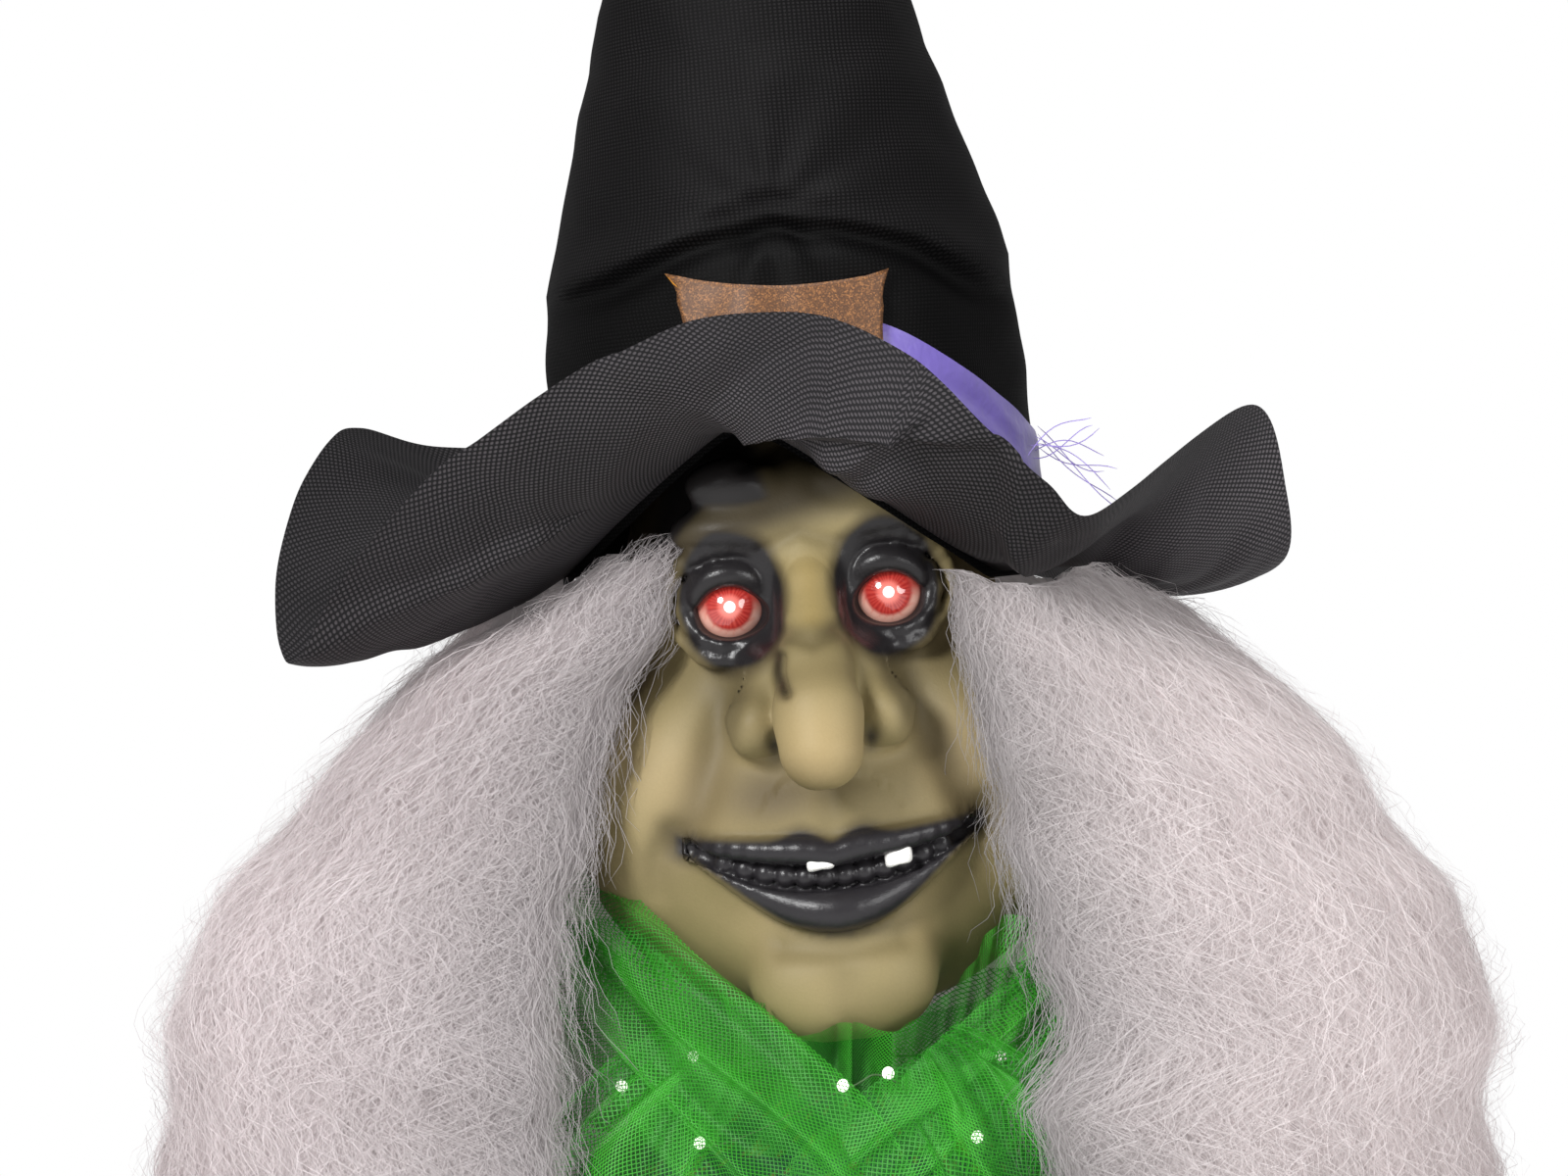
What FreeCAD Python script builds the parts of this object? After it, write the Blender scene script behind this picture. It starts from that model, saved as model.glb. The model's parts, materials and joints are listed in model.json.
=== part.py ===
"""Animated standing witch figure.

It has a weighted stand, a motor-driven waist, a turning head, posable arms and a dressed body. All dimensions
are in millimetres. The origin is on the floor, on the axis of the stand's pole. +Z is up, the face looks along -Y
and the figure's own left side is +X. Each node is written to parts/NODE.step.
"""

import FreeCAD
import Part
import math
import os
from FreeCAD import Matrix, Placement, Rotation, Vector

# ---------------------------------------------------------------- driving dimensions

# Stand
FOOT_THICK = 6.0
FOOT_R = 16.0
FOOT_SPREAD = 130.0
PLATE_SIDE = 360.0
PLATE_THICK = 4.0
PLATE_CORNER_R = 30.0
STAKE_SPACING = 320.0
STAKE_HOLE_R = 4.5
PLATE_TOP = FOOT_THICK + PLATE_THICK
SOCKET_R = 17.0
SOCKET_HEIGHT = 72.0
LOWER_POLE_R = 12.7
LOWER_POLE_WALL = 1.5
LOWER_POLE_TOP = 265.0
UPPER_POLE_R = 11.0
UPPER_POLE_WALL = 1.4
UPPER_POLE_BOTTOM = 225.0
UPPER_POLE_TOP = 556.0
SLIP = 0.1
LEAD_R, LEAD_BEND_R, LEAD_POLE_Y = 2.2, 18.0, 24.0
LEAD_FROM = (20.0, 60.4, 30.0)
LEAD_END_Z = 432.0

# Waist drive
HOUSING_R = 78.0
HOUSING_WALL = 3.0
HOUSING_Z0 = 425.0
HOUSING_Z1 = 492.0
COVER_THICK = 3.0
PRESSURE_ANGLE = math.radians(25.0)
ADDENDUM, DEDENDUM = 0.8, 1.1
BACKLASH = 0.35
WAIST_MODULE, WAIST_TEETH, IDLER_SMALL_TEETH = 1.5, 48, 12
MOTOR_MODULE, IDLER_LARGE_TEETH, MOTOR_TEETH = 1.0, 36, 10
WAIST_GEAR_Z = (467.0, 475.0)
IDLER_SMALL_Z = (466.5, 477.0)
IDLER_LARGE_Z = (477.0, 483.0)
MOTOR_PINION_Z = (476.5, 484.5)
IDLER_AT = Vector(0, (WAIST_TEETH + IDLER_SMALL_TEETH) * WAIST_MODULE / 2 + 0.05, 0)
MOTOR_AT = IDLER_AT + Vector((IDLER_LARGE_TEETH + MOTOR_TEETH) * MOTOR_MODULE / 2 + 0.05, 0, 0)
RUNNING = 0.06
HUB_R = 16.0
TURNTABLE_R = 79.0
TURNTABLE_Z = (500.0, 504.0)
SPINE_R = 12.7
SPINE_WALL = 1.5
SPINE_TOP = 850.0

# Torso and arms
SHOULDER_Z = 800.0
SHOULDER_BAR_R = 8.0
ARM_X = 178.0
ARM_R = 8.0
ELBOW_PIN_R = 5.0
ELBOW_Z = 585.0
FOREARM_LENGTH = 190.0
FOREARM_PITCH = {"left": -14.0, "right": 8.0}
SIDES = {"left": 1.0, "right": -1.0}
# Each level is (height, half width, half depth) of the chest form.
CHEST_LEVELS = [(504, 78, 66), (600, 76, 62), (680, 96, 74), (760, 114, 80), (815, 108, 66), (832, 70, 46)]
CHEST_WALL = 2.5
BODICE_GAP, BODICE_THICK = 1.0, 3.0

# Skirt, collar and sleeves
SKIRT_HEM_Z, SKIRT_WAIST_Z = 40.0, 528.0
SKIRT_HEM_R = 268.0
SKIRT_WAIST_X, SKIRT_WAIST_Y = 90.0, 82.0
SKIRT_GORES = 16
CLOTH_THICK = 2.5
COLLAR_PANELS = 8
COLLAR_SEAM_Z = 858.0
STRING_R, STRING_Z, STRING_WIRE_R, BEAD_R = 68.0, 862.0, 0.6, 2.4
SLEEVE_PANELS = 8

# Head
HEAD_PIVOT_Z = 880.0
HEAD_ROLL = -5.4
NECK_POST_R = 14.0
NECK_TOP = 925.0
HEAD_SHELL_WALL = 3.0
MASK_SPLIT_Y = 12.0
EYE_HALF_SPACING = 33.8
EYE_UP = 190.0
EYE_Y = -66.0
EYE_R = 17.0
# Each tooth is (left of the middle, up from the pivot, half width, half height).
TEETH = [(-5.5, 80.0, 6.5, 4.2), (27.3, 79.3, 5.8, 3.8)]
TOOTH_Y = -83.0

# Hat, in the head's own frame: height, half width, half depth, shift to the left and back
CROWN_LEVELS = [(256, 104, 114, 0, 2), (330, 100, 106, 0, 4), (500, 53, 57, 0, 14)]
HAT_TIP = [(500, 53, 57, 0, 14), (570, 34, 36, 12, 24), (615, 19, 20, 34, 38), (641, 6, 6, 62, 52)]
CROWN_PANELS = 12
# The crown's foot is a saddle: highest at a peak over the brow, falling to both temples.
ROOT_PEAK_Z, ROOT_PEAK_X, ROOT_FALL, ROOT_ROUNDING = 266.0, -22.0, 0.78, 10.0
ROOT_LOWEST_Z, ROOT_BACK_Z = 196.0, 214.0
# The ribbon's middle line: its height at the temples and its rise to the front and the back
BAND_MIDDLE_Z, BAND_RISE_FRONT, BAND_RISE_BACK = 243.0, 58.0, 14.0
BAND_WIDTH, BAND_THICK, BAND_GAP = 23.0, 0.8, 0.6
BUCKLE_Z, BUCKLE_WIDTH, BUCKLE_THICK = (264.0, 330.0), 92.0, 1.6
BRIM_THICK = 1.6
# Brim edge, from the front round the figure's left: left, back and up from the pivot
BRIM_EDGE = [
    (12, -207, 304), (33, -204, 296), (53, -198, 283), (75, -188, 259), (101, -170, 231), (117, -150, 215),
    (154, -120, 235), (198, -70, 256), (212, -20, 219), (213, 25, 189), (188, 70, 180), (160, 115, 190),
    (118, 160, 214), (62, 194, 232), (0, 205, 236), (-62, 196, 250), (-122, 178, 272), (-170, 148, 279),
    (-198, 114, 289), (-210, 80, 283), (-224, 35, 257), (-231, -20, 218), (-223, -70, 187), (-187, -125, 224),
    (-150, -160, 257), (-127, -176, 269), (-103, -188, 282), (-72, -200, 297), (-39, -206, 307),
    (-11, -208, 307),
]
BRIM_ROOT = (106.0, 117.0)
BRIM_DIP = 26.0

# Hair: height, half width and half depth of the outer surface on each side
HAIR_LEVELS = {
    "left": [
        (1050, 76, 111), (1033, 182, 128), (1004, 210, 134), (970, 232, 138), (907, 274, 149),
        (857, 271, 158), (823, 280, 160), (720, 285, 158), (655, 262, 150),
    ],
    "right": [
        (1050, 112, 116), (1030, 190, 128), (995, 222, 134), (970, 240, 138), (911, 285, 149),
        (882, 300, 154), (823, 300, 160), (720, 292, 158), (655, 266, 150),
    ],
}
HAIR_THICK = 4.0
HAIR_FRONT_OPENING = {"left": 17.0, "right": 27.0}

# Control box, on the plate behind the pole
BOX_X, BOX_Y, BOX_TOP = (-64.0, 64.0), (58.0, 142.0), 52.0
BOX_WALL = 2.5
DOOR_X, DOOR_Y = (-50.0, 8.0), (66.0, 132.0)
HINGE_RISE, HINGE_Y, HINGE_PIN_R = 3.4, DOOR_Y[0] - 3.6, 1.5
JACK_BORE_R, JACK_DEPTH, JACK_X, JACK_Z = 2.75, 9.5, 44.0, 26.0
SWITCH_X, SWITCH_Z, SWITCH_TRAVEL = 26.0, 26.0, 4.0
KNOB_HALF = 1.2
BUTTON_AT, BUTTON_R = (40.0, 84.0), 7.0
BOARD_Z = 30.0
BOARD_POSTS = [(24.0, 72.0), (54.0, 92.0)]


# ---------------------------------------------------------------- helpers


def export(name, *solids):
    """Writes one node. Several solids share the node as a group."""
    shape = solids[0] if len(solids) == 1 else Part.makeCompound(list(solids))
    shape.exportStep(os.path.join("parts", name + ".step"))


def cylinder(radius, z0, z1, x=0.0, y=0.0):
    return Part.makeCylinder(radius, z1 - z0, Vector(x, y, z0))


def tube(outer, inner, z0, z1):
    return cylinder(outer, z0, z1).cut(cylinder(inner, z0 - 1, z1 + 1))


def rod(radius, start, end):
    """A round bar between two points."""
    along = end - start
    return Part.makeCylinder(radius, along.Length, start, along)


def block(x0, x1, y0, y1, z0, z1):
    return Part.makeBox(x1 - x0, y1 - y0, z1 - z0, Vector(x0, y0, z0))


def ellipsoid(centre, radii):
    ball = Part.makeSphere(1.0)
    scale = Matrix()
    scale.scale(radii[0], radii[1], radii[2])
    ball = ball.transformGeometry(scale)
    ball.translate(Vector(*centre))
    return ball


def mirrored(shape, side):
    """The shape as built on the figure's left, or its mirror image on the right."""
    return shape if side == "left" else shape.mirror(Vector(0, 0, 0), Vector(1, 0, 0))


def triangle(a, b, c):
    return Part.Face(Part.makePolygon([a, b, c, a]))


def closed_solid(faces):
    shell = Part.makeShell(faces)
    shell.sewShape()
    solid = Part.Solid(Part.Shell(shell.Faces))
    return solid if solid.Volume > 0 else solid.reversed()


def strip(row_a, row_b, ring):
    """Triangles between two rows of points. A ring's last point joins its first."""
    found = []
    count = len(row_a)
    for i in range(count if ring else count - 1):
        j = (i + 1) % count
        found += [triangle(row_a[i], row_a[j], row_b[j]), triangle(row_a[i], row_b[j], row_b[i])]
    return found


def sheet(outer, inner, ring=True):
    """A closed sheet between two grids of points, each a list of rows of the same length."""
    faces = []
    for grid in (outer, inner):
        for row_a, row_b in zip(grid, grid[1:]):
            faces += strip(row_a, row_b, ring)
    faces += strip(outer[0], inner[0], ring) + strip(outer[-1], inner[-1], ring)
    if not ring:
        for end in (0, -1):
            faces += strip([row[end] for row in outer], [row[end] for row in inner], False)
    return closed_solid(faces)


def ellipse_row(z, half_width, half_depth, count, start=0.0, span=360.0, shift=(0.0, 0.0)):
    """Points round an ellipse, starting at the front and going towards the figure's left."""
    steps = count if span >= 360.0 else count - 1
    row = []
    for i in range(count):
        a = math.radians(start + span * i / steps)
        row.append(Vector(shift[0] + half_width * math.sin(a), shift[1] - half_depth * math.cos(a), z))
    return row


def panels(outer_a, inner_a, outer_b, inner_b):
    """A ring of separate flat-sided cloth panels between two levels."""
    found = []
    count = len(outer_a)
    for i in range(count):
        j = (i + 1) % count
        low = [outer_a[i], outer_a[j], inner_a[j], inner_a[i]]
        high = [outer_b[i], outer_b[j], inner_b[j], inner_b[i]]
        faces = strip(low, high, True)
        for corner in (low, high):
            faces += [triangle(corner[0], corner[1], corner[2]), triangle(corner[0], corner[2], corner[3])]
        found.append(closed_solid(faces))
    return found


def cloth_ring(level_a, level_b, count, thick=CLOTH_THICK):
    """Panels between two levels, each (height, half width, half depth) with an optional shift."""

    def rows(level):
        z, half_width, half_depth = level[:3]
        shift = level[3:] or (0.0, 0.0)
        outer = ellipse_row(z, half_width, half_depth, count, shift=shift)
        return outer, ellipse_row(z, half_width - thick, half_depth - thick, count, shift=shift)

    (outer_a, inner_a), (outer_b, inner_b) = rows(level_a), rows(level_b)
    return panels(outer_a, inner_a, outer_b, inner_b)


def spur_gear(module, teeth, z0, z1, centre, turn):
    """A stub-tooth spur gear. turn is the direction, in radians, that one tooth points."""
    pitch_r = module * teeth / 2
    base_r = pitch_r * math.cos(PRESSURE_ANGLE)
    tip_r, root_r = pitch_r + ADDENDUM * module, pitch_r - DEDENDUM * module

    def involute(radius):
        angle = math.acos(min(1.0, base_r / radius))
        return math.tan(angle) - angle

    def half_tooth(radius):
        narrowed = math.pi / (2 * teeth) - BACKLASH / (4 * pitch_r)
        return narrowed + involute(pitch_r) - involute(max(radius, base_r))

    start_r = max(base_r, root_r)
    radii = [root_r] + [start_r + (tip_r - start_r) * k / 3 for k in range(4)]
    points = []
    for t in range(teeth):
        middle = turn + 2 * math.pi * t / teeth
        flank = [(r, half_tooth(r)) for r in radii]
        for r, half in flank:
            points.append((r, middle - half))
        for r, half in reversed(flank):
            points.append((r, middle + half))
    corners = [Vector(centre.x + r * math.cos(a), centre.y + r * math.sin(a), z0) for r, a in points]
    face = Part.Face(Part.makePolygon(corners + [corners[0]]))
    return face.extrude(Vector(0, 0, z1 - z0))


def head_placed(shape):
    """Carries a shape from the head's own frame to its place: tilted sideways on the neck."""
    shape = shape.copy()
    turn = Rotation(Vector(0, 1, 0), HEAD_ROLL)
    shape.Placement = Placement(Vector(0, 0, HEAD_PIVOT_Z), turn).multiply(shape.Placement)
    return shape


# ---------------------------------------------------------------- stand


def base_plate():
    half, r = PLATE_SIDE / 2, PLATE_CORNER_R
    plate = block(-half, half, -half, half, FOOT_THICK, PLATE_TOP)
    corners = [e for e in plate.Edges if abs(e.Vertexes[0].Z - e.Vertexes[-1].Z) > PLATE_THICK / 2]
    plate = plate.makeFillet(r, corners)
    s = STAKE_SPACING / 2
    for x in (-s, s):
        for y in (-s, s):
            plate = plate.cut(cylinder(STAKE_HOLE_R, FOOT_THICK - 1, PLATE_TOP + 1, x, y))
    return plate


def base_feet():
    s = FOOT_SPREAD
    places = [(0, 0), (-s, -s), (s, -s), (-s, s), (s, s)]
    return [cylinder(FOOT_R, 0, FOOT_THICK, x, y) for x, y in places]


def pole_socket():
    stub = tube(SOCKET_R, LOWER_POLE_R + SLIP, PLATE_TOP, PLATE_TOP + SOCKET_HEIGHT)
    flange = tube(SOCKET_R + 13, LOWER_POLE_R + SLIP, PLATE_TOP, PLATE_TOP + 3)
    screw_hole = rod(2.6, Vector(0, 0, PLATE_TOP + 50), Vector(0, -SOCKET_R - 5, PLATE_TOP + 50))
    return stub.fuse(flange).cut(screw_hole).removeSplitter()


def socket_thumbscrew():
    z = PLATE_TOP + 50
    stem = rod(2.5, Vector(0, -LOWER_POLE_R - 0.05, z), Vector(0, -SOCKET_R - 8, z))
    head = rod(9.0, Vector(0, -SOCKET_R - 8, z), Vector(0, -SOCKET_R - 15, z))
    for k in range(8):
        a = math.radians(45 * k)
        x, dz = 9.6 * math.cos(a), 9.6 * math.sin(a)
        head = head.cut(rod(1.6, Vector(x, -SOCKET_R - 7, z + dz), Vector(x, -SOCKET_R - 16, z + dz)))
    return stem.fuse(head)


def lower_pole():
    return tube(LOWER_POLE_R, LOWER_POLE_R - LOWER_POLE_WALL, PLATE_TOP, LOWER_POLE_TOP)


def upper_pole():
    return tube(UPPER_POLE_R, UPPER_POLE_R - UPPER_POLE_WALL, UPPER_POLE_BOTTOM, UPPER_POLE_TOP)


def drive_lead():
    """The lead from the control box to the motor, which rises beside the pole into the drive housing."""
    start, corner = Vector(*LEAD_FROM), Vector(LEAD_FROM[0], LEAD_POLE_Y, LEAD_FROM[2])
    bend = Vector(LEAD_FROM[0], LEAD_POLE_Y + LEAD_BEND_R, LEAD_FROM[2])
    rise = Vector(LEAD_FROM[0], LEAD_POLE_Y, LEAD_FROM[2] + LEAD_BEND_R)
    end = Vector(LEAD_FROM[0], LEAD_POLE_Y, LEAD_END_Z)
    short = LEAD_BEND_R * (1 - math.cos(math.pi / 4))
    middle = corner + Vector(0, short, short)
    path = Part.Wire([
        Part.LineSegment(start, bend).toShape(),
        Part.Arc(bend, middle, rise).toShape(),
        Part.LineSegment(rise, end).toShape(),
    ])
    section = Part.Wire(Part.makeCircle(LEAD_R, start, Vector(0, -1, 0)))
    return path.makePipeShell([section], True, False)


# ---------------------------------------------------------------- waist drive


def drive_housing():
    cup = cylinder(HOUSING_R, HOUSING_Z0, HOUSING_Z1)
    cup = cup.cut(cylinder(HOUSING_R - HOUSING_WALL, HOUSING_Z0 + HOUSING_WALL, HOUSING_Z1 + 1))
    boss = cylinder(19.0, HOUSING_Z0 - 18, 460.0)
    cup = cup.fuse(boss).cut(cylinder(UPPER_POLE_R + SLIP, HOUSING_Z0 - 20, 470))
    for x, y in cover_screw_places():
        post = cylinder(4.5, HOUSING_Z0 + 2, HOUSING_Z1, x, y)
        cup = cup.fuse(post.cut(cylinder(1.3, HOUSING_Z1 - 12.5, HOUSING_Z1 + 1, x, y)))
    floor_top = HOUSING_Z0 + HOUSING_WALL
    lead_hole = cylinder(LEAD_R + SLIP, HOUSING_Z0 - 1, floor_top + 1, LEAD_FROM[0], LEAD_POLE_Y)
    return cup.cut(lead_hole).removeSplitter()


def cover_screw_places():
    places = []
    for k in range(3):
        a = math.radians(60 + 120 * k)
        places.append(((HOUSING_R - 8) * math.cos(a), (HOUSING_R - 8) * math.sin(a)))
    return places


def drive_cover():
    z0, z1 = HOUSING_Z1, HOUSING_Z1 + COVER_THICK
    cover = tube(HOUSING_R, HUB_R + 1.5, z0, z1)
    for x, y in cover_screw_places():
        cover = cover.cut(cylinder(1.6, z0 - 1, z1 + 1, x, y))
    return cover


def screw(x, y, seat, length):
    """A pan-head screw that points down, with its head on the seat and a cross recess."""
    stem = cylinder(1.2, seat - length, seat, x, y)
    head = cylinder(2.9, seat, seat + 1.8, x, y)
    cross = block(x - 2, x + 2, y - 0.4, y + 0.4, seat + 0.9, seat + 2)
    cross = cross.fuse(block(x - 0.4, x + 0.4, y - 2, y + 2, seat + 0.9, seat + 2))
    return stem.fuse(head).cut(cross)


def motor_body():
    can = cylinder(13.6, HOUSING_Z0 + HOUSING_WALL, 464.0, MOTOR_AT.x, MOTOR_AT.y)
    nose = cylinder(4.0, 464.0, 466.5, MOTOR_AT.x, MOTOR_AT.y)
    body = can.fuse(nose)
    flat = block(MOTOR_AT.x - 20, MOTOR_AT.x + 20, MOTOR_AT.y + 11.6, MOTOR_AT.y + 20, HOUSING_Z0, 470)
    return body.cut(flat).cut(cylinder(1.2, 452, 467, MOTOR_AT.x, MOTOR_AT.y))


def motor_pinion():
    """The pinion with the motor's shaft, which turns in the can."""
    gap_to_idler = math.pi + math.pi / MOTOR_TEETH
    gear = spur_gear(MOTOR_MODULE, MOTOR_TEETH, *MOTOR_PINION_Z, MOTOR_AT, gap_to_idler)
    return gear.fuse(cylinder(1.1, 453, MOTOR_PINION_Z[0], MOTOR_AT.x, MOTOR_AT.y))


def idler_pin():
    pin = cylinder(2.0, HOUSING_Z0 + HOUSING_WALL, 488.0, IDLER_AT.x, IDLER_AT.y)
    return pin.fuse(cylinder(6.0, HOUSING_Z0 + HOUSING_WALL, 465.5, IDLER_AT.x, IDLER_AT.y))


def idler_gear():
    gap_to_waist = -math.pi / 2 + math.pi / IDLER_SMALL_TEETH
    small = spur_gear(WAIST_MODULE, IDLER_SMALL_TEETH, *IDLER_SMALL_Z, IDLER_AT, gap_to_waist)
    large = spur_gear(MOTOR_MODULE, IDLER_LARGE_TEETH, *IDLER_LARGE_Z, IDLER_AT, 0.0)
    return small.fuse(large).cut(cylinder(2.0 + RUNNING, 460, 490, IDLER_AT.x, IDLER_AT.y))


def waist_gear():
    gear = spur_gear(WAIST_MODULE, WAIST_TEETH, *WAIST_GEAR_Z, Vector(0, 0, 0), math.pi / 2)
    below, above = WAIST_GEAR_Z[0] - 1, WAIST_GEAR_Z[1] + 1
    gear = gear.cut(cylinder(HUB_R + 0.05, below, above))
    for k in range(6):
        a = math.radians(60 * k)
        gear = gear.cut(cylinder(5.0, below, above, 25 * math.cos(a), 25 * math.sin(a)))
    return gear


def waist_hub():
    """The sleeve that turns on the pole, the turntable over the cover, and the spigot for the spine."""
    sleeve = cylinder(HUB_R, 462.0, 560.0)
    table = cylinder(TURNTABLE_R, *TURNTABLE_Z)
    spigot = cylinder(SPINE_R - SPINE_WALL - SLIP, 560.0, 592.0)
    hub = sleeve.fuse([table, spigot, cylinder(28.0, TURNTABLE_Z[1], TURNTABLE_Z[1] + 8)])
    hub = hub.cut(cylinder(UPPER_POLE_R + RUNNING, 460, UPPER_POLE_TOP + 1))
    return hub.cut(cylinder(4.0, UPPER_POLE_TOP - 1, 600)).removeSplitter()


def thrust_washer():
    return tube(18.0, UPPER_POLE_R + SLIP, 460.0, 461.8)


# ---------------------------------------------------------------- torso


def shoulder_hole(radius, reach=140.0):
    return rod(radius, Vector(-reach, 0, SHOULDER_Z), Vector(reach, 0, SHOULDER_Z))


def chest_forms():
    """Two moulded half shells, front and back, open at the waist and round the spine."""
    count = 28

    def rows(inset):
        return [ellipse_row(z, w - inset, d - inset, count) for z, w, d in CHEST_LEVELS]

    shell = sheet(rows(0.0), rows(CHEST_WALL))
    shell = shell.cut(shoulder_hole(SHOULDER_BAR_R + 1.0))
    front = shell.common(block(-200, 200, -200, -0.1, 400, 900))
    back = shell.common(block(-200, 200, 0.1, 200, 400, 900))
    return front, back


def dress_bodice():
    count = 28
    first = BODICE_GAP
    levels = [(SKIRT_WAIST_Z - 4.0, 78, 66)] + CHEST_LEVELS[1:5]

    def rows(out):
        return [ellipse_row(z, w + out, d + out, count) for z, w, d in levels]

    return sheet(rows(first + BODICE_THICK), rows(first)).cut(shoulder_hole(SHOULDER_BAR_R + 2.0))


def neck_yoke():
    """The moulded yoke that closes the top of the chest form and carries the collar."""
    z0, z1 = 832.0, COLLAR_SEAM_Z
    return Part.makeCone(62.0, 46.0, z1 - z0, Vector(0, 0, z0)).cut(cylinder(22.0, z0 - 1, z1 + 1))


def spine_tube():
    tube_solid = tube(SPINE_R, SPINE_R - SPINE_WALL, 560.0, SPINE_TOP)
    return tube_solid.cut(shoulder_hole(SHOULDER_BAR_R + SLIP))


def neck_post():
    """The plug in the top of the spine that the head turns on, drilled for the head's leads."""
    plug = cylinder(SPINE_R - SPINE_WALL - SLIP, 820.0, SPINE_TOP)
    post = cylinder(NECK_POST_R, SPINE_TOP, NECK_TOP)
    return plug.fuse(post).cut(cylinder(5.0, 819, NECK_TOP + 1))


def shoulder_bar():
    half = ARM_X + 12.0

    def collar(radius, x):
        return rod(radius, Vector(x, 0, SHOULDER_Z), Vector(x + math.copysign(4.0, x), 0, SHOULDER_Z))

    bar = rod(SHOULDER_BAR_R, Vector(-half, 0, SHOULDER_Z), Vector(half, 0, SHOULDER_Z))
    for s in SIDES.values():
        bar = bar.fuse([collar(12.5, s * half), collar(11.5, s * (ARM_X - 14.5))])
    return bar.removeSplitter()


def dress_skirt():
    """Sixteen gores from the waist to the hem."""
    hem = (SKIRT_HEM_Z, SKIRT_HEM_R, SKIRT_HEM_R)
    waist = (SKIRT_WAIST_Z, SKIRT_WAIST_X, SKIRT_WAIST_Y)
    return cloth_ring(hem, waist, SKIRT_GORES)


def tulle_collar():
    """The gathered collar: a standing part under the chin and a fall over the shoulders."""
    stand = cloth_ring((COLLAR_SEAM_Z, 52, 60), (874.0, 66, 76), COLLAR_PANELS, 3.0)
    fall = cloth_ring((836.5, 122, 124), (COLLAR_SEAM_Z - 0.1, 54, 62), COLLAR_PANELS, 3.0)
    return stand + fall


def collar_lights():
    """The light string: a thin wire round the collar's seam with eight beads on it."""
    w = STRING_WIRE_R
    string = tube(STRING_R + w, STRING_R - w, STRING_Z - w, STRING_Z + w)
    for angle in (-62, -38, -2, 16, 44, 75, 150, 215):
        a = math.radians(angle)
        x, y = STRING_R * math.sin(a), -STRING_R * math.cos(a)
        string = string.fuse(cylinder(BEAD_R, STRING_Z - BEAD_R, STRING_Z + BEAD_R, x, y))
    return string.removeSplitter()


# ---------------------------------------------------------------- arms


def upper_arm(side):
    """A plastic limb with an eye for the shoulder bar and an eye for the elbow pin."""

    def across(radius, half, z):
        return rod(radius, Vector(ARM_X - half, 0, z), Vector(ARM_X + half, 0, z))

    limb = rod(ARM_R, Vector(ARM_X, 0, SHOULDER_Z - 6), Vector(ARM_X, 0, ELBOW_Z + 6))
    arm = limb.fuse([across(14.0, 10.0, SHOULDER_Z), across(12.0, 6.0, ELBOW_Z)])
    bores = [across(SHOULDER_BAR_R + RUNNING, 20.0, SHOULDER_Z), across(ELBOW_PIN_R + RUNNING, 20.0, ELBOW_Z)]
    arm = arm.cut(bores)
    for s in (-1, 1):
        cheek_room = block(min(s * 6, s * 20), max(s * 6, s * 20), -20, 20, ELBOW_Z - 15, ELBOW_Z + 18)
        cheek_room.translate(Vector(ARM_X, 0, 0))
        arm = arm.cut(cheek_room)
    return mirrored(arm.removeSplitter(), side)


def forearm_placed(shape, side):
    """Carries a shape from the forearm's frame, where it runs along -Y from the elbow, to its place."""
    shape = mirrored(shape, side)
    turn = Rotation(Vector(1, 0, 0), -FOREARM_PITCH[side])
    centre = Vector(SIDES[side] * ARM_X, 0, ELBOW_Z)
    shape.Placement = Placement(centre, turn).multiply(shape.Placement)
    return shape


def forearm(side):
    """A forked limb with its elbow pin, and a plug for the hand."""
    limb = rod(ARM_R, Vector(0, -22, 0), Vector(0, -FOREARM_LENGTH, 0))
    cheeks = [block(s * 9 - 2.5, s * 9 + 2.5, -26, 10, -10, 10) for s in (-1, 1)]
    bridge = block(-11.5, 11.5, -30, -18, -10, 10)
    pin = rod(ELBOW_PIN_R, Vector(-14, 0, 0), Vector(14, 0, 0))
    clear = rod(13.0, Vector(-6.4, 0, 0), Vector(6.4, 0, 0)).cut(pin)
    solid = limb.fuse(cheeks + [bridge, pin]).cut(clear)
    return forearm_placed(solid.removeSplitter(), side)


def hand(side):
    """A moulded hand with a socket for the forearm, its palm down and its fingers spread and bent."""
    y0 = -FOREARM_LENGTH + 24
    wrist = Part.makeCone(17.0, 20.0, 40.0, Vector(0, y0, 0), Vector(0, -1, 0))
    palm = block(-35, 35, y0 - 108, y0 - 34, -11, 11)
    palm = palm.makeFillet(9.0, palm.Edges)
    solid = wrist.fuse(palm)
    for x, spread, length in ((-27, -14, 62), (-9, -4, 74), (10, 5, 70), (27, 15, 56)):
        a = math.radians(spread)
        root = Vector(x * 0.9, y0 - 88, 0)
        knuckle = root + Vector(math.sin(a) * length * 0.55, -math.cos(a) * length * 0.55, 5)
        tip = knuckle + Vector(math.sin(a) * length * 0.45, -math.cos(a) * length * 0.45, -16)
        solid = solid.fuse([rod(8.0, root, knuckle), Part.makeSphere(8.0, knuckle), rod(6.5, knuckle, tip)])
        solid = solid.fuse(Part.makeSphere(6.5, tip))
    thumb_root, thumb_tip = Vector(-28, y0 - 52, 0), Vector(-58, y0 - 92, -14)
    solid = solid.fuse([rod(8.5, thumb_root, thumb_tip), Part.makeSphere(8.5, thumb_tip)])
    socket = rod(ARM_R + SLIP, Vector(0, y0 + 1, 0), Vector(0, -FOREARM_LENGTH - SLIP, 0))
    return forearm_placed(solid.cut(socket), side)


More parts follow.
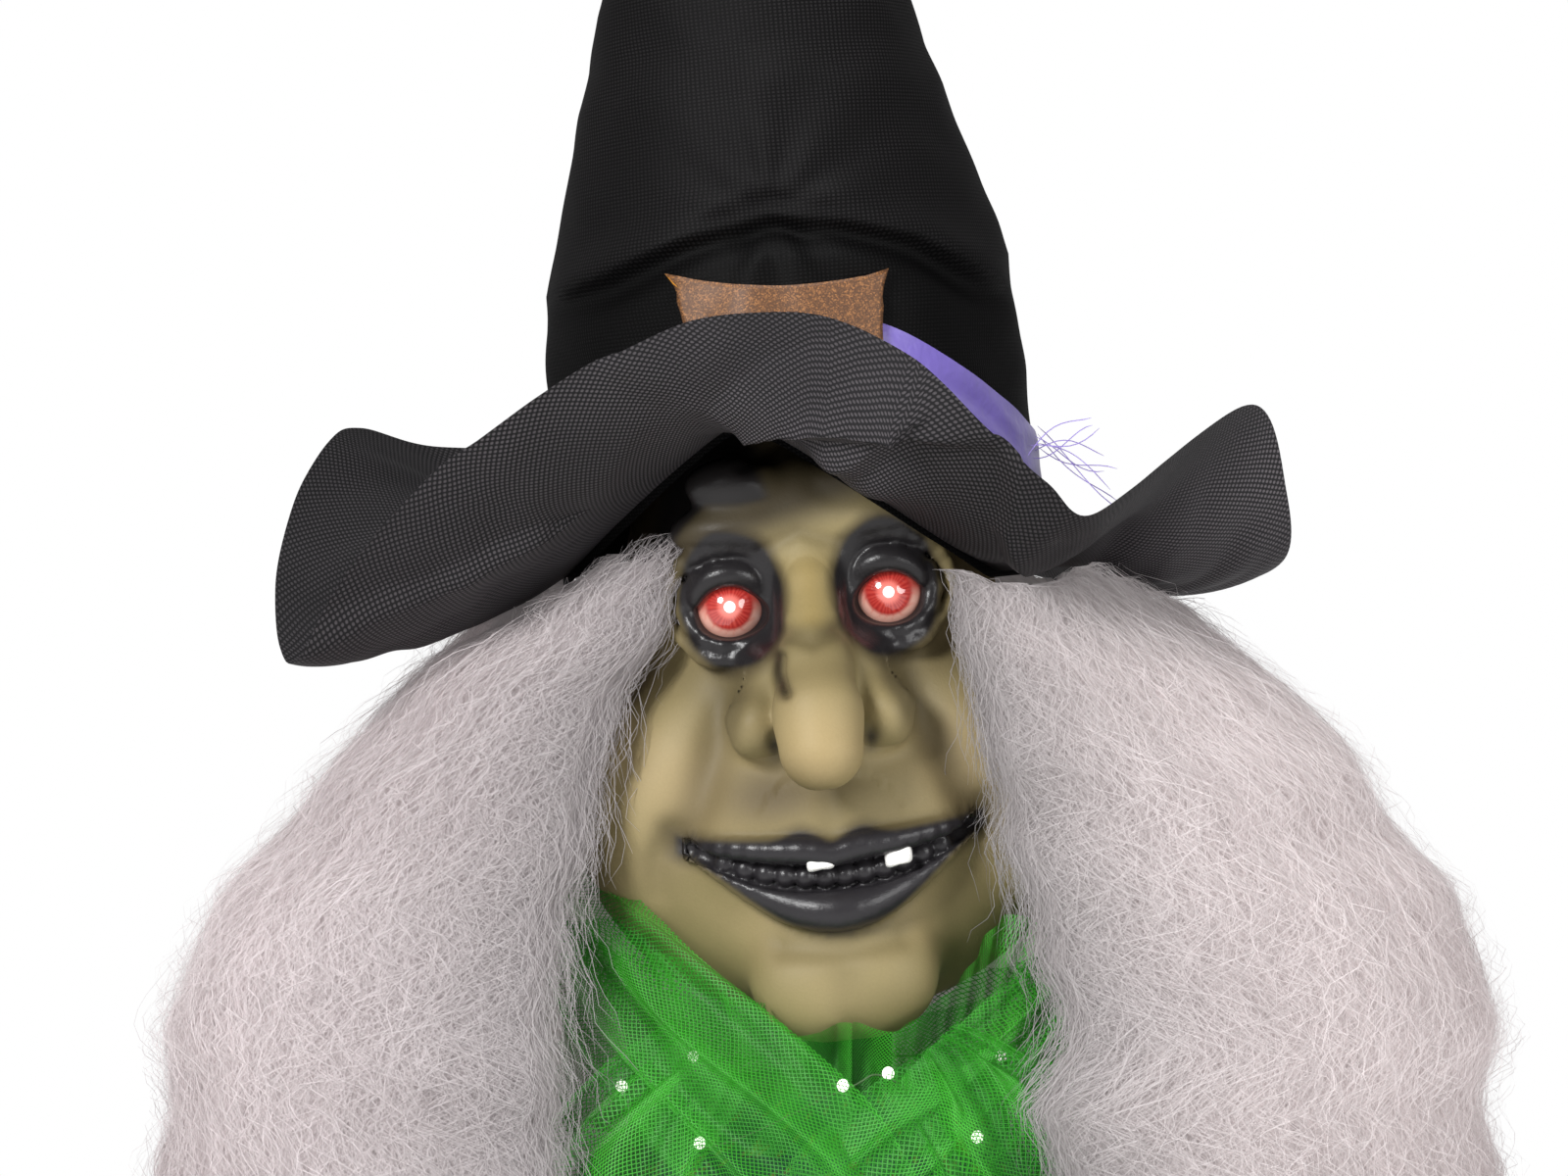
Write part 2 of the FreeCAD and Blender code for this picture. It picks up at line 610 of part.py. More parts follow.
def upper_sleeve(side):
    top, elbow = (838.0, 44, 44), (ELBOW_Z + 84, 40, 42)
    armhole = rod(SHOULDER_BAR_R + 6.0, Vector(0, 0, SHOULDER_Z), Vector(ARM_X, 0, SHOULDER_Z))
    ring = []
    for solid in cloth_ring(elbow, top, SLEEVE_PANELS):
        solid.translate(Vector(ARM_X, 0, 0))
        ring.append(mirrored(solid.cut(armhole), side))
    return ring


def lower_sleeve(side):
    """The bell sleeve. It hangs open round the hand."""
    ring = []
    for solid in cloth_ring((58.0, 37, 37), (178.0, 46, 60, 0, -14), SLEEVE_PANELS):
        solid.rotate(Vector(0, 0, 0), Vector(1, 0, 0), 90)
        ring.append(forearm_placed(solid, side))
    return ring


# ---------------------------------------------------------------- head


def head_mass(inset):
    """The head's outer form, or the same form drawn in by a wall."""
    skull = ellipsoid((0, 6, 168), (84 - inset, 98 - inset, 138 - inset))
    jaw = ellipsoid((0, -18, 92), (106 - inset, 71 - inset, 85 - inset))
    chin = ellipsoid((0, -62, 34), (42 - inset, 32 - inset, 34 - inset))
    return skull.fuse([jaw, chin])


def nose(inset):
    bridge, tip = Vector(0, -84, 196), Vector(0, -132, 128)
    along = tip - bridge
    body = Part.makeCone(13.0 - inset, 21.0 - inset, along.Length, bridge, along)
    return body.fuse(Part.makeSphere(21.0 - inset, tip))


def head_shells():
    """The vinyl face mask in front and the moulded skull shell behind it."""
    wall = HEAD_SHELL_WALL
    outer = head_mass(0.0).fuse(nose(0.0))
    inner = head_mass(wall).fuse(nose(wall))
    shell = outer.cut(inner)
    shell = shell.cut(cylinder(27.0, -20, 45, 0, 0))
    for s in (-1, 1):
        x = s * EYE_HALF_SPACING
        shell = shell.cut(rod(EYE_R - 2.0, Vector(x, -40, EYE_UP), Vector(x, -120, EYE_UP)))
    mask = shell.common(block(-200, 200, -200, MASK_SPLIT_Y - 0.1, -50, 400))
    skull = shell.common(block(-200, 200, MASK_SPLIT_Y + 0.1, 200, -50, 400))
    return head_placed(mask), head_placed(skull)


def eye(side):
    """A clear dome with an open back for its lamp."""
    x = SIDES[side] * EYE_HALF_SPACING
    ball = Part.makeSphere(EYE_R - 3, Vector(x, EYE_Y, EYE_UP))
    ball = ball.cut(Part.makeSphere(EYE_R - 5, Vector(x, EYE_Y, EYE_UP)))
    ball = ball.cut(block(x - 30, x + 30, EYE_Y + 4, EYE_Y + 40, EYE_UP - 30, EYE_UP + 30))
    return head_placed(ball)


def eye_lamps():
    """The two red lamps, each a 5 mm LED behind its dome."""
    found = []
    for s in SIDES.values():
        x = s * EYE_HALF_SPACING
        body = rod(2.5, Vector(x, EYE_Y + 4.2, EYE_UP), Vector(x, EYE_Y - 4, EYE_UP))
        found.append(head_placed(body.fuse(Part.makeSphere(2.5, Vector(x, EYE_Y - 4, EYE_UP)))))
    return found


def eye_carrier():
    """The bar inside the head that holds both lamps."""
    back = EYE_Y + 4.3
    bar = block(-53, 53, back, back + 3, EYE_UP - 12, EYE_UP + 12)
    posts = [rod(2.0, Vector(x, back + 1, EYE_UP), Vector(x, back - 3.8, EYE_UP)) for x in (-50.6, 50.6)]
    return head_placed(bar.fuse(posts))


def teeth():
    """Two stub teeth on the upper gum."""
    pieces = []
    for x, z, half_width, half_height in TEETH:
        tooth = block(x - half_width, x + half_width, TOOTH_Y - 9, TOOTH_Y, z - half_height, z + half_height)
        pieces.append(head_placed(tooth.cut(head_mass(0.0))))
    return pieces


def neck_socket():
    """The bush under the head, which turns on the neck post. Its flange leans with the head."""
    top = NECK_TOP + 0.2
    flange_z = top - HEAD_PIVOT_Z
    bush = cylinder(19.0, SPINE_TOP + 0.4, top + 3)
    flange = head_placed(tube(32.5, 12.0, flange_z, flange_z + 3))
    bore = cylinder(NECK_POST_R + RUNNING, SPINE_TOP, top)
    return bush.fuse(flange).cut([bore, cylinder(5.0, top - 1, top + 4)]).removeSplitter()


def root_height(x, y):
    """How high the crown's foot is above the pivot, at a place on its outline."""
    away = math.hypot(x - ROOT_PEAK_X, ROOT_ROUNDING) - ROOT_ROUNDING
    front = max(ROOT_PEAK_Z - ROOT_FALL * away, ROOT_LOWEST_Z)
    share = min(max((y + 20.0) / 80.0, 0.0), 1.0)
    return front + (ROOT_BACK_Z - front) * share * share * (3 - 2 * share)


def band_height(x, y, half_width):
    """The height of the ribbon's middle line at a place on the crown's outline."""
    towards_end = 1.0 - min(abs(x) / half_width, 1.0) ** 2
    return BAND_MIDDLE_Z + (BAND_RISE_FRONT if y < 0 else BAND_RISE_BACK) * towards_end


def crown_row(z, out, count):
    """A ring round the crown at one height, held off its cloth by a distance."""
    (z0, w0, d0, _, y0), (z1, w1, d1, _, y1) = CROWN_LEVELS[:2]
    t = (z - z0) / (z1 - z0)
    width, depth = w0 + (w1 - w0) * t + out, d0 + (d1 - d0) * t + out
    return ellipse_row(z, width, depth, count, shift=(0.0, y0 + (y1 - y0) * t))


def hat_crown():
    def foot(out):
        row = crown_row(CROWN_LEVELS[0][0], out, CROWN_PANELS)
        return [Vector(p.x, p.y, root_height(p.x, p.y)) for p in row]

    top_of_foot = CROWN_LEVELS[1][0]
    solids = panels(foot(0.0), foot(-CLOTH_THICK), crown_row(top_of_foot, 0.0, CROWN_PANELS),
                    crown_row(top_of_foot, -CLOTH_THICK, CROWN_PANELS))
    solids += cloth_ring(CROWN_LEVELS[1], CROWN_LEVELS[2], CROWN_PANELS)
    rows = [ellipse_row(z, w, d, 16, shift=(dx, dy)) for z, w, d, dx, dy in HAT_TIP]
    faces = []
    for row_a, row_b in zip(rows, rows[1:]):
        faces += strip(row_a, row_b, True)
    for row in (rows[0], rows[-1]):
        faces.append(Part.Face(Part.makePolygon(row + [row[0]])))
    return [head_placed(solid) for solid in solids + [closed_solid(faces)]]


def hat_brim():
    """A floppy brim, turned up at the front and back and down at the sides."""
    rings = 4
    top, bottom = [], []
    for k in range(rings + 1):
        t = k / rings
        row = []
        for x, y, z in BRIM_EDGE:
            edge = Vector(x, y, z)
            a = math.atan2(x, -y)
            root = Vector(BRIM_ROOT[0] * math.sin(a), -BRIM_ROOT[1] * math.cos(a), 0)
            root.z = root_height(root.x, root.y)
            middle = (root + edge) / 2 - Vector(0, 0, BRIM_DIP)
            point = root * (1 - t) ** 2 + middle * (2 * t * (1 - t)) + edge * t**2
            row.append(point)
        top.append(row)
        bottom.append([p - Vector(0, 0, BRIM_THICK) for p in row])
    return head_placed(sheet(top, bottom))


def hat_band():
    """The ribbon round the crown, which rises to the front over the saddle."""
    count = 24

    def edge(side, out):
        row = crown_row(CROWN_LEVELS[0][0], BAND_GAP + out, count)
        heights = [band_height(p.x, p.y, row[count // 4].x) + side * BAND_WIDTH / 2 for p in row]
        return [crown_row(z, BAND_GAP + out, count)[i] for i, z in enumerate(heights)]

    band = panels(edge(-1, BAND_THICK), edge(-1, 0.0), edge(1, BAND_THICK), edge(1, 0.0))
    return [head_placed(solid) for solid in band]


def hat_buckle():
    """The square-framed buckle, which lies on the band's front and curves with the crown."""
    clear = BAND_GAP + BAND_THICK + 0.6
    rows = {clear: [], clear + BUCKLE_THICK: []}
    for z in (BUCKLE_Z[0], (BUCKLE_Z[0] + BUCKLE_Z[1]) / 2, BUCKLE_Z[1]):
        for out, found in rows.items():
            ring = crown_row(z, out, 4)
            width, depth, back = ring[1].x, ring[1].y - ring[0].y, ring[1].y
            half = math.degrees(BUCKLE_WIDTH / 2 / depth)
            found.append(ellipse_row(z, width, depth, 13, -half, 2 * half, (0.0, back)))
    inner, outer = rows.values()
    frame = sheet(outer, inner, ring=False)
    window = block(-27, 27, -140, -80, BUCKLE_Z[0] + 18, BUCKLE_Z[1] - 18)
    return head_placed(frame.cut(window))


def hair(side):
    """Half of the long hair: from under the brim, over the shoulder and down the back."""
    count = 14
    start = HAIR_FRONT_OPENING[side]
    span = 180.0 - start - 0.15
    levels, wall = HAIR_LEVELS[side], HAIR_THICK
    outer = [ellipse_row(z, w, d, count, start, span) for z, w, d in levels]
    inner = [ellipse_row(z, w - wall, d - wall, count, start, span) for z, w, d in levels]
    return mirrored(sheet(outer, inner, ring=False), side)


# ---------------------------------------------------------------- control box


def control_tub():
    x0, x1 = BOX_X
    y0, y1 = BOX_Y
    z0, z1 = PLATE_TOP, BOX_TOP - BOX_WALL
    w = BOX_WALL
    tub = block(x0, x1, y0, y1, z0, z1).cut(block(x0 + w, x1 - w, y0 + w, y1 - w, z0 + w, z1 + 1))
    for x, y in lid_screw_places():
        post = cylinder(3.4, z0 + 1, z1, x, y).cut(cylinder(1.25, z1 - 12, z1 + 1, x, y))
        tub = tub.fuse(post)
    divider = block(DOOR_X[1] + 4, DOOR_X[1] + 6, y0 + 1, y1 - 1, z0 + 1, z1)
    tub = tub.fuse(divider)
    jack = rod(4.1, Vector(JACK_X, y1 - 6, JACK_Z), Vector(JACK_X, y1 + 2, JACK_Z))
    reach = KNOB_HALF + SWITCH_TRAVEL + 0.3
    slot = block(SWITCH_X - reach, SWITCH_X + reach, y1 - 6, y1 + 2, SWITCH_Z - 2.2, SWITCH_Z + 2.2)
    lead_x, _, lead_z = LEAD_FROM
    lead_hole = rod(LEAD_R + SLIP, Vector(lead_x, y0 - 1, lead_z), Vector(lead_x, y0 + w + 1, lead_z))
    for x, y in BOARD_POSTS:
        tub = tub.fuse(cylinder(3.0, z0 + 1, BOARD_Z, x, y))
    return tub.cut([jack, slot, lead_hole]).removeSplitter()


def lid_screw_places():
    inset = 4.6
    xs = (BOX_X[0] + inset, BOX_X[1] - inset)
    ys = (BOX_Y[0] + inset, BOX_Y[1] - inset)
    return [(x, y) for x in xs for y in ys]


def control_lid():
    """The lid, with the battery opening, two hinge ears, the button's hole and the speaker grille."""
    z0, z1 = BOX_TOP - BOX_WALL, BOX_TOP
    lid = block(*BOX_X, *BOX_Y, z0, z1)
    lid = lid.cut(block(DOOR_X[0], DOOR_X[1], DOOR_Y[0], DOOR_Y[1], z0 - 1, z1 + 1))
    for x, y in lid_screw_places():
        lid = lid.cut(cylinder(1.5, z0 - 1, z1 + 1, x, y))
    lid = lid.cut(cylinder(BUTTON_R + 0.4, z0 - 1, z1 + 1, *BUTTON_AT))
    for row in range(5):
        for k in range(5):
            lid = lid.cut(cylinder(1.3, z0 - 1, z1 + 1, 26 + 6 * k, 104 + 6 * row))
    pin_y, pin_z = HINGE_Y, z1 + HINGE_RISE
    for x in (DOOR_X[0] + 9, DOOR_X[1] - 9):
        ear = rod(3.2, Vector(x - 4, pin_y, pin_z), Vector(x + 4, pin_y, pin_z))
        ear = ear.fuse(block(x - 4, x + 4, pin_y - 3.2, pin_y + 3.2, z1 - 0.5, pin_z))
        lid = lid.fuse(ear)
    lid = lid.cut(rod(HINGE_PIN_R + SLIP, Vector(-80, pin_y, pin_z), Vector(80, pin_y, pin_z)))
    return lid.removeSplitter()


def hinge_pin():
    z = BOX_TOP + HINGE_RISE
    return rod(HINGE_PIN_R, Vector(DOOR_X[0] + 3, HINGE_Y, z), Vector(DOOR_X[1] - 3, HINGE_Y, z))


def battery_door():
    """The door, with its middle knuckle on the hinge pin and a finger tab at the back."""
    z0, z1 = BOX_TOP + 0.3, BOX_TOP + 2.6
    door = block(DOOR_X[0] - 2, DOOR_X[1] + 2, DOOR_Y[0] + 0.4, DOOR_Y[1] + 2, z0, z1)
    plug = block(DOOR_X[0] + 0.5, DOOR_X[1] - 0.5, DOOR_Y[0] + 6.0, DOOR_Y[1] - 0.8, BOX_TOP - 1.5, z0)
    tab = block(-29, -13, DOOR_Y[1] + 2, DOOR_Y[1] + 7, z0, z1)
    pivot_z, pivot_y = BOX_TOP + HINGE_RISE, HINGE_Y
    middle = (DOOR_X[0] + DOOR_X[1]) / 2
    knuckle = rod(3.0, Vector(middle - 14, pivot_y, pivot_z), Vector(middle + 14, pivot_y, pivot_z))
    arm = block(middle - 14, middle + 14, pivot_y, DOOR_Y[0] + 1, z0 + 0.4, z1)
    door = door.fuse([plug, tab, knuckle, arm])
    bore = rod(HINGE_PIN_R + RUNNING, Vector(-80, pivot_y, pivot_z), Vector(80, pivot_y, pivot_z))
    return door.cut(bore).removeSplitter()


def battery_cells():
    """Three AA cells side by side."""
    found = []
    for k in range(3):
        y = 82.0 + 16.5 * k
        z = PLATE_TOP + BOX_WALL + 8.0
        cell = rod(7.1, Vector(-48, y, z), Vector(1, y, z))
        found.append(cell.fuse(rod(2.7, Vector(1, y, z), Vector(2.5, y, z))))
    return found


def circuit_board():
    """The board on its two posts, with the small switch that the test button presses."""
    x, y = BUTTON_AT
    board = block(18, 58, 66, 98, BOARD_Z, BOARD_Z + 1.6)
    case = block(x - 3, x + 3, y - 3, y + 3, BOARD_Z + 1.6, BOARD_Z + 5.1)
    return board.fuse([case, cylinder(1.7, BOARD_Z + 5.1, BOARD_Z + 7.9, x, y)])


def speaker():
    """A small round speaker under the lid's grille."""
    x, y, z = 38.0, 116.0, BOX_TOP - BOX_WALL
    cone = Part.makeCone(8.0, 16.5, 9.0, Vector(x, y, z - 10.0))
    rim = cylinder(17.5, z - 1.5, z - 0.2, x, y).cut(cylinder(13.0, z - 1, z, x, y))
    return cone.fuse([rim, cylinder(8.0, z - 16, z - 10, x, y)])


def dc_jack():
    y1 = BOX_Y[1]
    body = rod(4.0, Vector(JACK_X, y1 - 12, JACK_Z), Vector(JACK_X, y1 + 0.6, JACK_Z))
    collar = rod(5.6, Vector(JACK_X, y1, JACK_Z), Vector(JACK_X, y1 + 1.0, JACK_Z))
    bore_end = y1 + 1.0 - JACK_DEPTH
    bore = rod(JACK_BORE_R, Vector(JACK_X, bore_end, JACK_Z), Vector(JACK_X, y1 + 2, JACK_Z))
    return body.fuse(collar).cut(bore).removeSplitter()


def power_switch():
    """The slider's knob and the carriage behind the wall. It rests in its middle position."""
    y1 = BOX_Y[1]
    x0, x1 = SWITCH_X - KNOB_HALF, SWITCH_X + KNOB_HALF
    knob = block(x0, x1, y1 - 3.4, y1 + 2.6, SWITCH_Z - 1.9, SWITCH_Z + 1.9)
    carriage = block(SWITCH_X - 4.5, SWITCH_X + 4.5, y1 - 5.2, y1 - 3.0, SWITCH_Z - 4.2, SWITCH_Z + 4.2)
    return knob.fuse(carriage)


def test_button():
    x, y = BUTTON_AT
    cap = cylinder(BUTTON_R, BOX_TOP - 4.0, BOX_TOP + 4.0, x, y)
    stop = cylinder(BUTTON_R + 2.2, BOX_TOP - 5.1, BOX_TOP - 2.9, x, y)
    stem = cylinder(2.0, BOX_TOP - 12.0, BOX_TOP - 5.0, x, y)
    return cap.fuse([stop, stem]).removeSplitter()


# ---------------------------------------------------------------- the whole figure


def build_stand():
    export("base_plate", base_plate())
    export("base_feet", *base_feet())
    export("pole_socket", pole_socket())
    export("socket_thumbscrew", socket_thumbscrew())
    export("pole_lower", lower_pole())
    export("pole_upper", upper_pole())
    export("drive_lead", drive_lead())
    export("control_box_tub", control_tub())
    export("control_box_lid", control_lid())
    export("door_hinge_pin", hinge_pin())
    export("battery_door", battery_door())
    export("battery_cells", *battery_cells())
    export("circuit_board", circuit_board())
    export("speaker", speaker())
    export("dc_jack", dc_jack())
    export("power_switch", power_switch())
    export("test_button", test_button())
    screws = [screw(x, y, BOX_TOP, 10) for x, y in lid_screw_places()]
    screws += [screw(x, y, HOUSING_Z1 + COVER_THICK, 12) for x, y in cover_screw_places()]
    export("case_screws", *screws)


def build_drive():
    export("drive_housing", drive_housing())
    export("drive_cover", drive_cover())
    export("motor_body", motor_body())
    export("motor_pinion", motor_pinion())
    export("idler_pin", idler_pin())
    export("idler_gear", idler_gear())
    export("waist_gear", waist_gear())
    export("waist_hub", waist_hub())
    export("thrust_washer", thrust_washer())


def build_torso():
    front, back = chest_forms()
    export("chest_form_front", front)
    export("chest_form_back", back)
    export("neck_yoke", neck_yoke())
    export("spine_tube", spine_tube())
    export("neck_post", neck_post())
    export("shoulder_bar", shoulder_bar())
    export("dress_bodice", dress_bodice())
    export("dress_skirt", *dress_skirt())
    export("tulle_collar", *tulle_collar())
    export("collar_lights", collar_lights())


def build_arms():
    for side in SIDES:
        export(f"upper_arm_{side}", upper_arm(side))
        export(f"forearm_{side}", forearm(side))
        export(f"hand_{side}", hand(side))
        export(f"upper_sleeve_{side}", *upper_sleeve(side))
        export(f"lower_sleeve_{side}", *lower_sleeve(side))


def build_head():
    mask, skull = head_shells()
    export("face_mask", mask)
    export("skull_shell", skull)
    for side in SIDES:
        export(f"hair_{side}", hair(side))
    export("eyes", *[eye(side) for side in SIDES])
    export("eye_lamps", *eye_lamps())
    export("eye_carrier", eye_carrier())
    export("teeth", *teeth())
    export("neck_socket", neck_socket())
    export("hat_crown", *hat_crown())
    export("hat_brim", hat_brim())
    export("hat_band", *hat_band())
    export("hat_buckle", hat_buckle())


def main():
    os.makedirs("parts", exist_ok=True)
    build_stand()
    build_drive()
    build_torso()
    build_arms()
    build_head()


main()
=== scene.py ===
"""The finished look of the animated witch figure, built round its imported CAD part.

Lengths in this script are millimetres until a mesh is made, and metres for lights and camera. +Z is up,
the face looks along -Y and the figure's own left side is +X. Head pieces are drawn in the head's own frame,
upright on its pivot, and then leaned.
"""

import json
import math

import bpy
import numpy as np
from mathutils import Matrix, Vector


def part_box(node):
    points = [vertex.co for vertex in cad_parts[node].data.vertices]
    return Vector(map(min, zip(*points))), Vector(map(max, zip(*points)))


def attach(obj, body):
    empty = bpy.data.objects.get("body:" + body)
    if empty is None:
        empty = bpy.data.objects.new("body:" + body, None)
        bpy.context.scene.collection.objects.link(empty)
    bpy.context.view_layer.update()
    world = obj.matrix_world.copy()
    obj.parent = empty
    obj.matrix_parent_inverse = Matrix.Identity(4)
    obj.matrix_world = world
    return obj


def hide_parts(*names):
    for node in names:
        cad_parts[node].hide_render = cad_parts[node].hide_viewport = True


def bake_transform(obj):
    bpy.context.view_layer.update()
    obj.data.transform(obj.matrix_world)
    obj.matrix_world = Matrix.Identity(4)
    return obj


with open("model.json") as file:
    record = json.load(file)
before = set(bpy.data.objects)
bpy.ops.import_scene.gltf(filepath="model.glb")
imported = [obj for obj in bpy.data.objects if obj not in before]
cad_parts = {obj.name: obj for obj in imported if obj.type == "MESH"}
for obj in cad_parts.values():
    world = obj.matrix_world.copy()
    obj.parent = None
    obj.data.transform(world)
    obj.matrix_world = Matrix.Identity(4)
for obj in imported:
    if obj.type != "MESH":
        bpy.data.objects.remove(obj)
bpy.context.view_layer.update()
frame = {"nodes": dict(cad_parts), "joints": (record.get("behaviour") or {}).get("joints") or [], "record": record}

# ---------------------------------------------------------------- sizes taken from the frame

MM = 0.001
SIDES = ("right", "left")


def joint_place(name):
    """Where a joint turns."""
    place = next(joint["pos_m"] for joint in frame["joints"] if joint["name"] == name)
    return [value / MM for value in place]


PIVOT_Z = joint_place("head_turn")[2]
SHOULDER = {side: Vector(joint_place(f"shoulder_{side}")) for side in SIDES}
ELBOW = {side: Vector(joint_place(f"elbow_{side}")) for side in SIDES}
SIGN = {"left": 1.0, "right": -1.0}
HEAD_LEAN = math.radians(5.4)
HEM_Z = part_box("dress_skirt")[0].z / MM
HEM_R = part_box("dress_skirt")[1].x / MM
WAIST_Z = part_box("dress_skirt")[1].z / MM
HAIR_END_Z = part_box("hair_left")[0].z / MM

chance = np.random.default_rng(20)

# ---------------------------------------------------------------- small tools


def linear(red, green, blue):
    """A colour as the eye reads it, 0 to 255, in the renderer's linear scale."""
    s = np.array([red, green, blue], float) / 255.0
    return np.where(s <= 0.04045, s / 12.92, ((s + 0.055) / 1.055) ** 2.4)


def smooth_step(low, high, value):
    t = np.clip((value - low) / (high - low), 0.0, 1.0)
    return t * t * (3 - 2 * t)


def mix(a, b, share):
    """Colours a mixed towards b by a share for each point."""
    share = np.asarray(share, float)[..., None]
    return a * (1 - share) + b * share


def wobble(x, y, scale, seed=0.0):
    """A smooth, seemingly irregular wave between about -1 and 1."""
    u, v = x / scale + seed * 1.7, y / scale - seed * 2.3
    waves = np.sin(1.9 * u + 1.3 * np.sin(1.1 * v + seed))
    waves = waves + np.sin(2.3 * v + 1.1 * np.sin(1.7 * u + 2 * seed))
    return 0.5 * waves * (0.75 + 0.25 * np.sin(0.9 * u - 1.3 * v + 3 * seed))


def hump(value, middle, width):
    """1 at the middle, falling softly away on both sides."""
    return np.exp(-((value - middle) / width) ** 2)


def unit(vectors):
    """Vectors brought to length 1."""
    return vectors / (np.linalg.norm(vectors, axis=-1, keepdims=True) + 1e-9)


def make_mesh(name, points, faces, material, body=None, uv=None, tint=None):
    """A smooth mesh from points in millimetres and equal-sided faces, with optional map and colours."""
    mesh = bpy.data.meshes.new(name)
    points = np.asarray(points, np.float32)
    faces = np.asarray(faces, np.int32)
    count, sides = faces.shape
    mesh.vertices.add(len(points))
    mesh.vertices.foreach_set("co", (points * MM).ravel())
    mesh.loops.add(count * sides)
    mesh.loops.foreach_set("vertex_index", faces.ravel())
    mesh.polygons.add(count)
    mesh.polygons.foreach_set("loop_start", np.arange(0, count * sides, sides, dtype=np.int32))
    mesh.polygons.foreach_set("use_smooth", np.ones(count, bool))
    mesh.update(calc_edges=True)
    if uv is not None:
        layer = mesh.uv_layers.new(name="map")
        layer.data.foreach_set("uv", np.asarray(uv, np.float32)[faces.ravel()].ravel())
    if tint is not None:
        rgba = np.ones((len(points), 4), np.float32)
        rgba[:, :3] = tint
        mesh.color_attributes.new(name="tint", type="FLOAT_COLOR", domain="POINT")
        mesh.color_attributes["tint"].data.foreach_set("color", rgba.ravel())
    mesh.materials.append(material)
    obj = bpy.data.objects.new(name, mesh)
    bpy.context.scene.collection.objects.link(obj)
    if body:
        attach(obj, body)
    return obj


def grid_faces(rows, columns, ring=False):
    """Quads over a grid of points stored row by row. A ring's last column joins its first."""
    r = np.arange(rows - 1)[:, None]
    c = np.arange(columns if ring else columns - 1)[None, :]
    after = (c + 1) % columns
    corners = [r * columns + c, r * columns + after, (r + 1) * columns + after, (r + 1) * columns + c]
    return np.stack([k + 0 * (r + c) for k in corners], -1).reshape(-1, 4)


def round_grid(columns, rows, first, last, closed=False):
    """Two rows x columns arrays: the angle of each column, from -pi to pi, and the value of each row."""
    angle = np.linspace(-math.pi, math.pi, columns, endpoint=not closed)
    return np.meshgrid(angle, np.linspace(first, last, rows))


def oval(angle, half_w, half_d, z):
    """Places on upright ovals round the figure: the angle runs from the front to the figure's left."""
    return np.stack([np.sin(angle) * half_w, -np.cos(angle) * half_d, z + 0 * angle], -1)


def grid_mesh(name, grid, material, body=None, ring=False, uv=None, tint=None):
    """A sheet over a rows x columns x 3 array of points."""
    rows, columns = grid.shape[:2]
    flat_uv = None if uv is None else np.asarray(uv).reshape(-1, 2)
    flat_tint = None if tint is None else np.asarray(tint).reshape(-1, 3)
    faces = grid_faces(rows, columns, ring)
    return make_mesh(name, grid.reshape(-1, 3), faces, material, body, flat_uv, flat_tint)


def leaned(points):
    """Carries points from the head's own frame to their place on the figure."""
    points = np.asarray(points, float)
    c, s = math.cos(HEAD_LEAN), math.sin(HEAD_LEAN)
    x, y, z = points[..., 0], points[..., 1], points[..., 2]
    return np.stack([c * x - s * z, y, PIVOT_Z + s * x + c * z], -1)


def thicken(obj, thickness):
    """Gives a sheet its thickness, inwards and outwards alike."""
    wall = obj.modifiers.new("wall", "SOLIDIFY")
    wall.thickness = thickness * MM
    wall.offset = 0.0
    bpy.context.view_layer.update()
    solid = bpy.data.meshes.new_from_object(obj.evaluated_get(bpy.context.evaluated_depsgraph_get()))
    obj.modifiers.clear()
    obj.data = solid
    return obj


def curve_through(points, count, closed=False):
    """Points eased along a smooth curve through the given ones (Catmull-Rom)."""
    p = np.asarray(points, float)
    n = len(p)
    spans = n if closed else n - 1
    t = np.linspace(0, spans, count, endpoint=not closed)
    i = np.minimum(t.astype(int), spans - 1)
    f = (t - i)[:, None]

    def at(k):
        return p[k % n] if closed else p[np.clip(k, 0, n - 1)]

    p0, p1, p2, p3 = at(i - 1), at(i), at(i + 1), at(i + 2)
    return 0.5 * (2 * p1 + (p2 - p0) * f + (2 * p0 - 5 * p1 + 4 * p2 - p3) * f**2
                  + (3 * p1 - p0 - 3 * p2 + p3) * f**3)


def table(rows, value):
    """The other columns of a table, read off at values of its first column."""
    rows = np.array(sorted(rows), float)
    return [np.interp(value, rows[:, 0], column) for column in rows.T[1:]]


# ---------------------------------------------------------------- materials


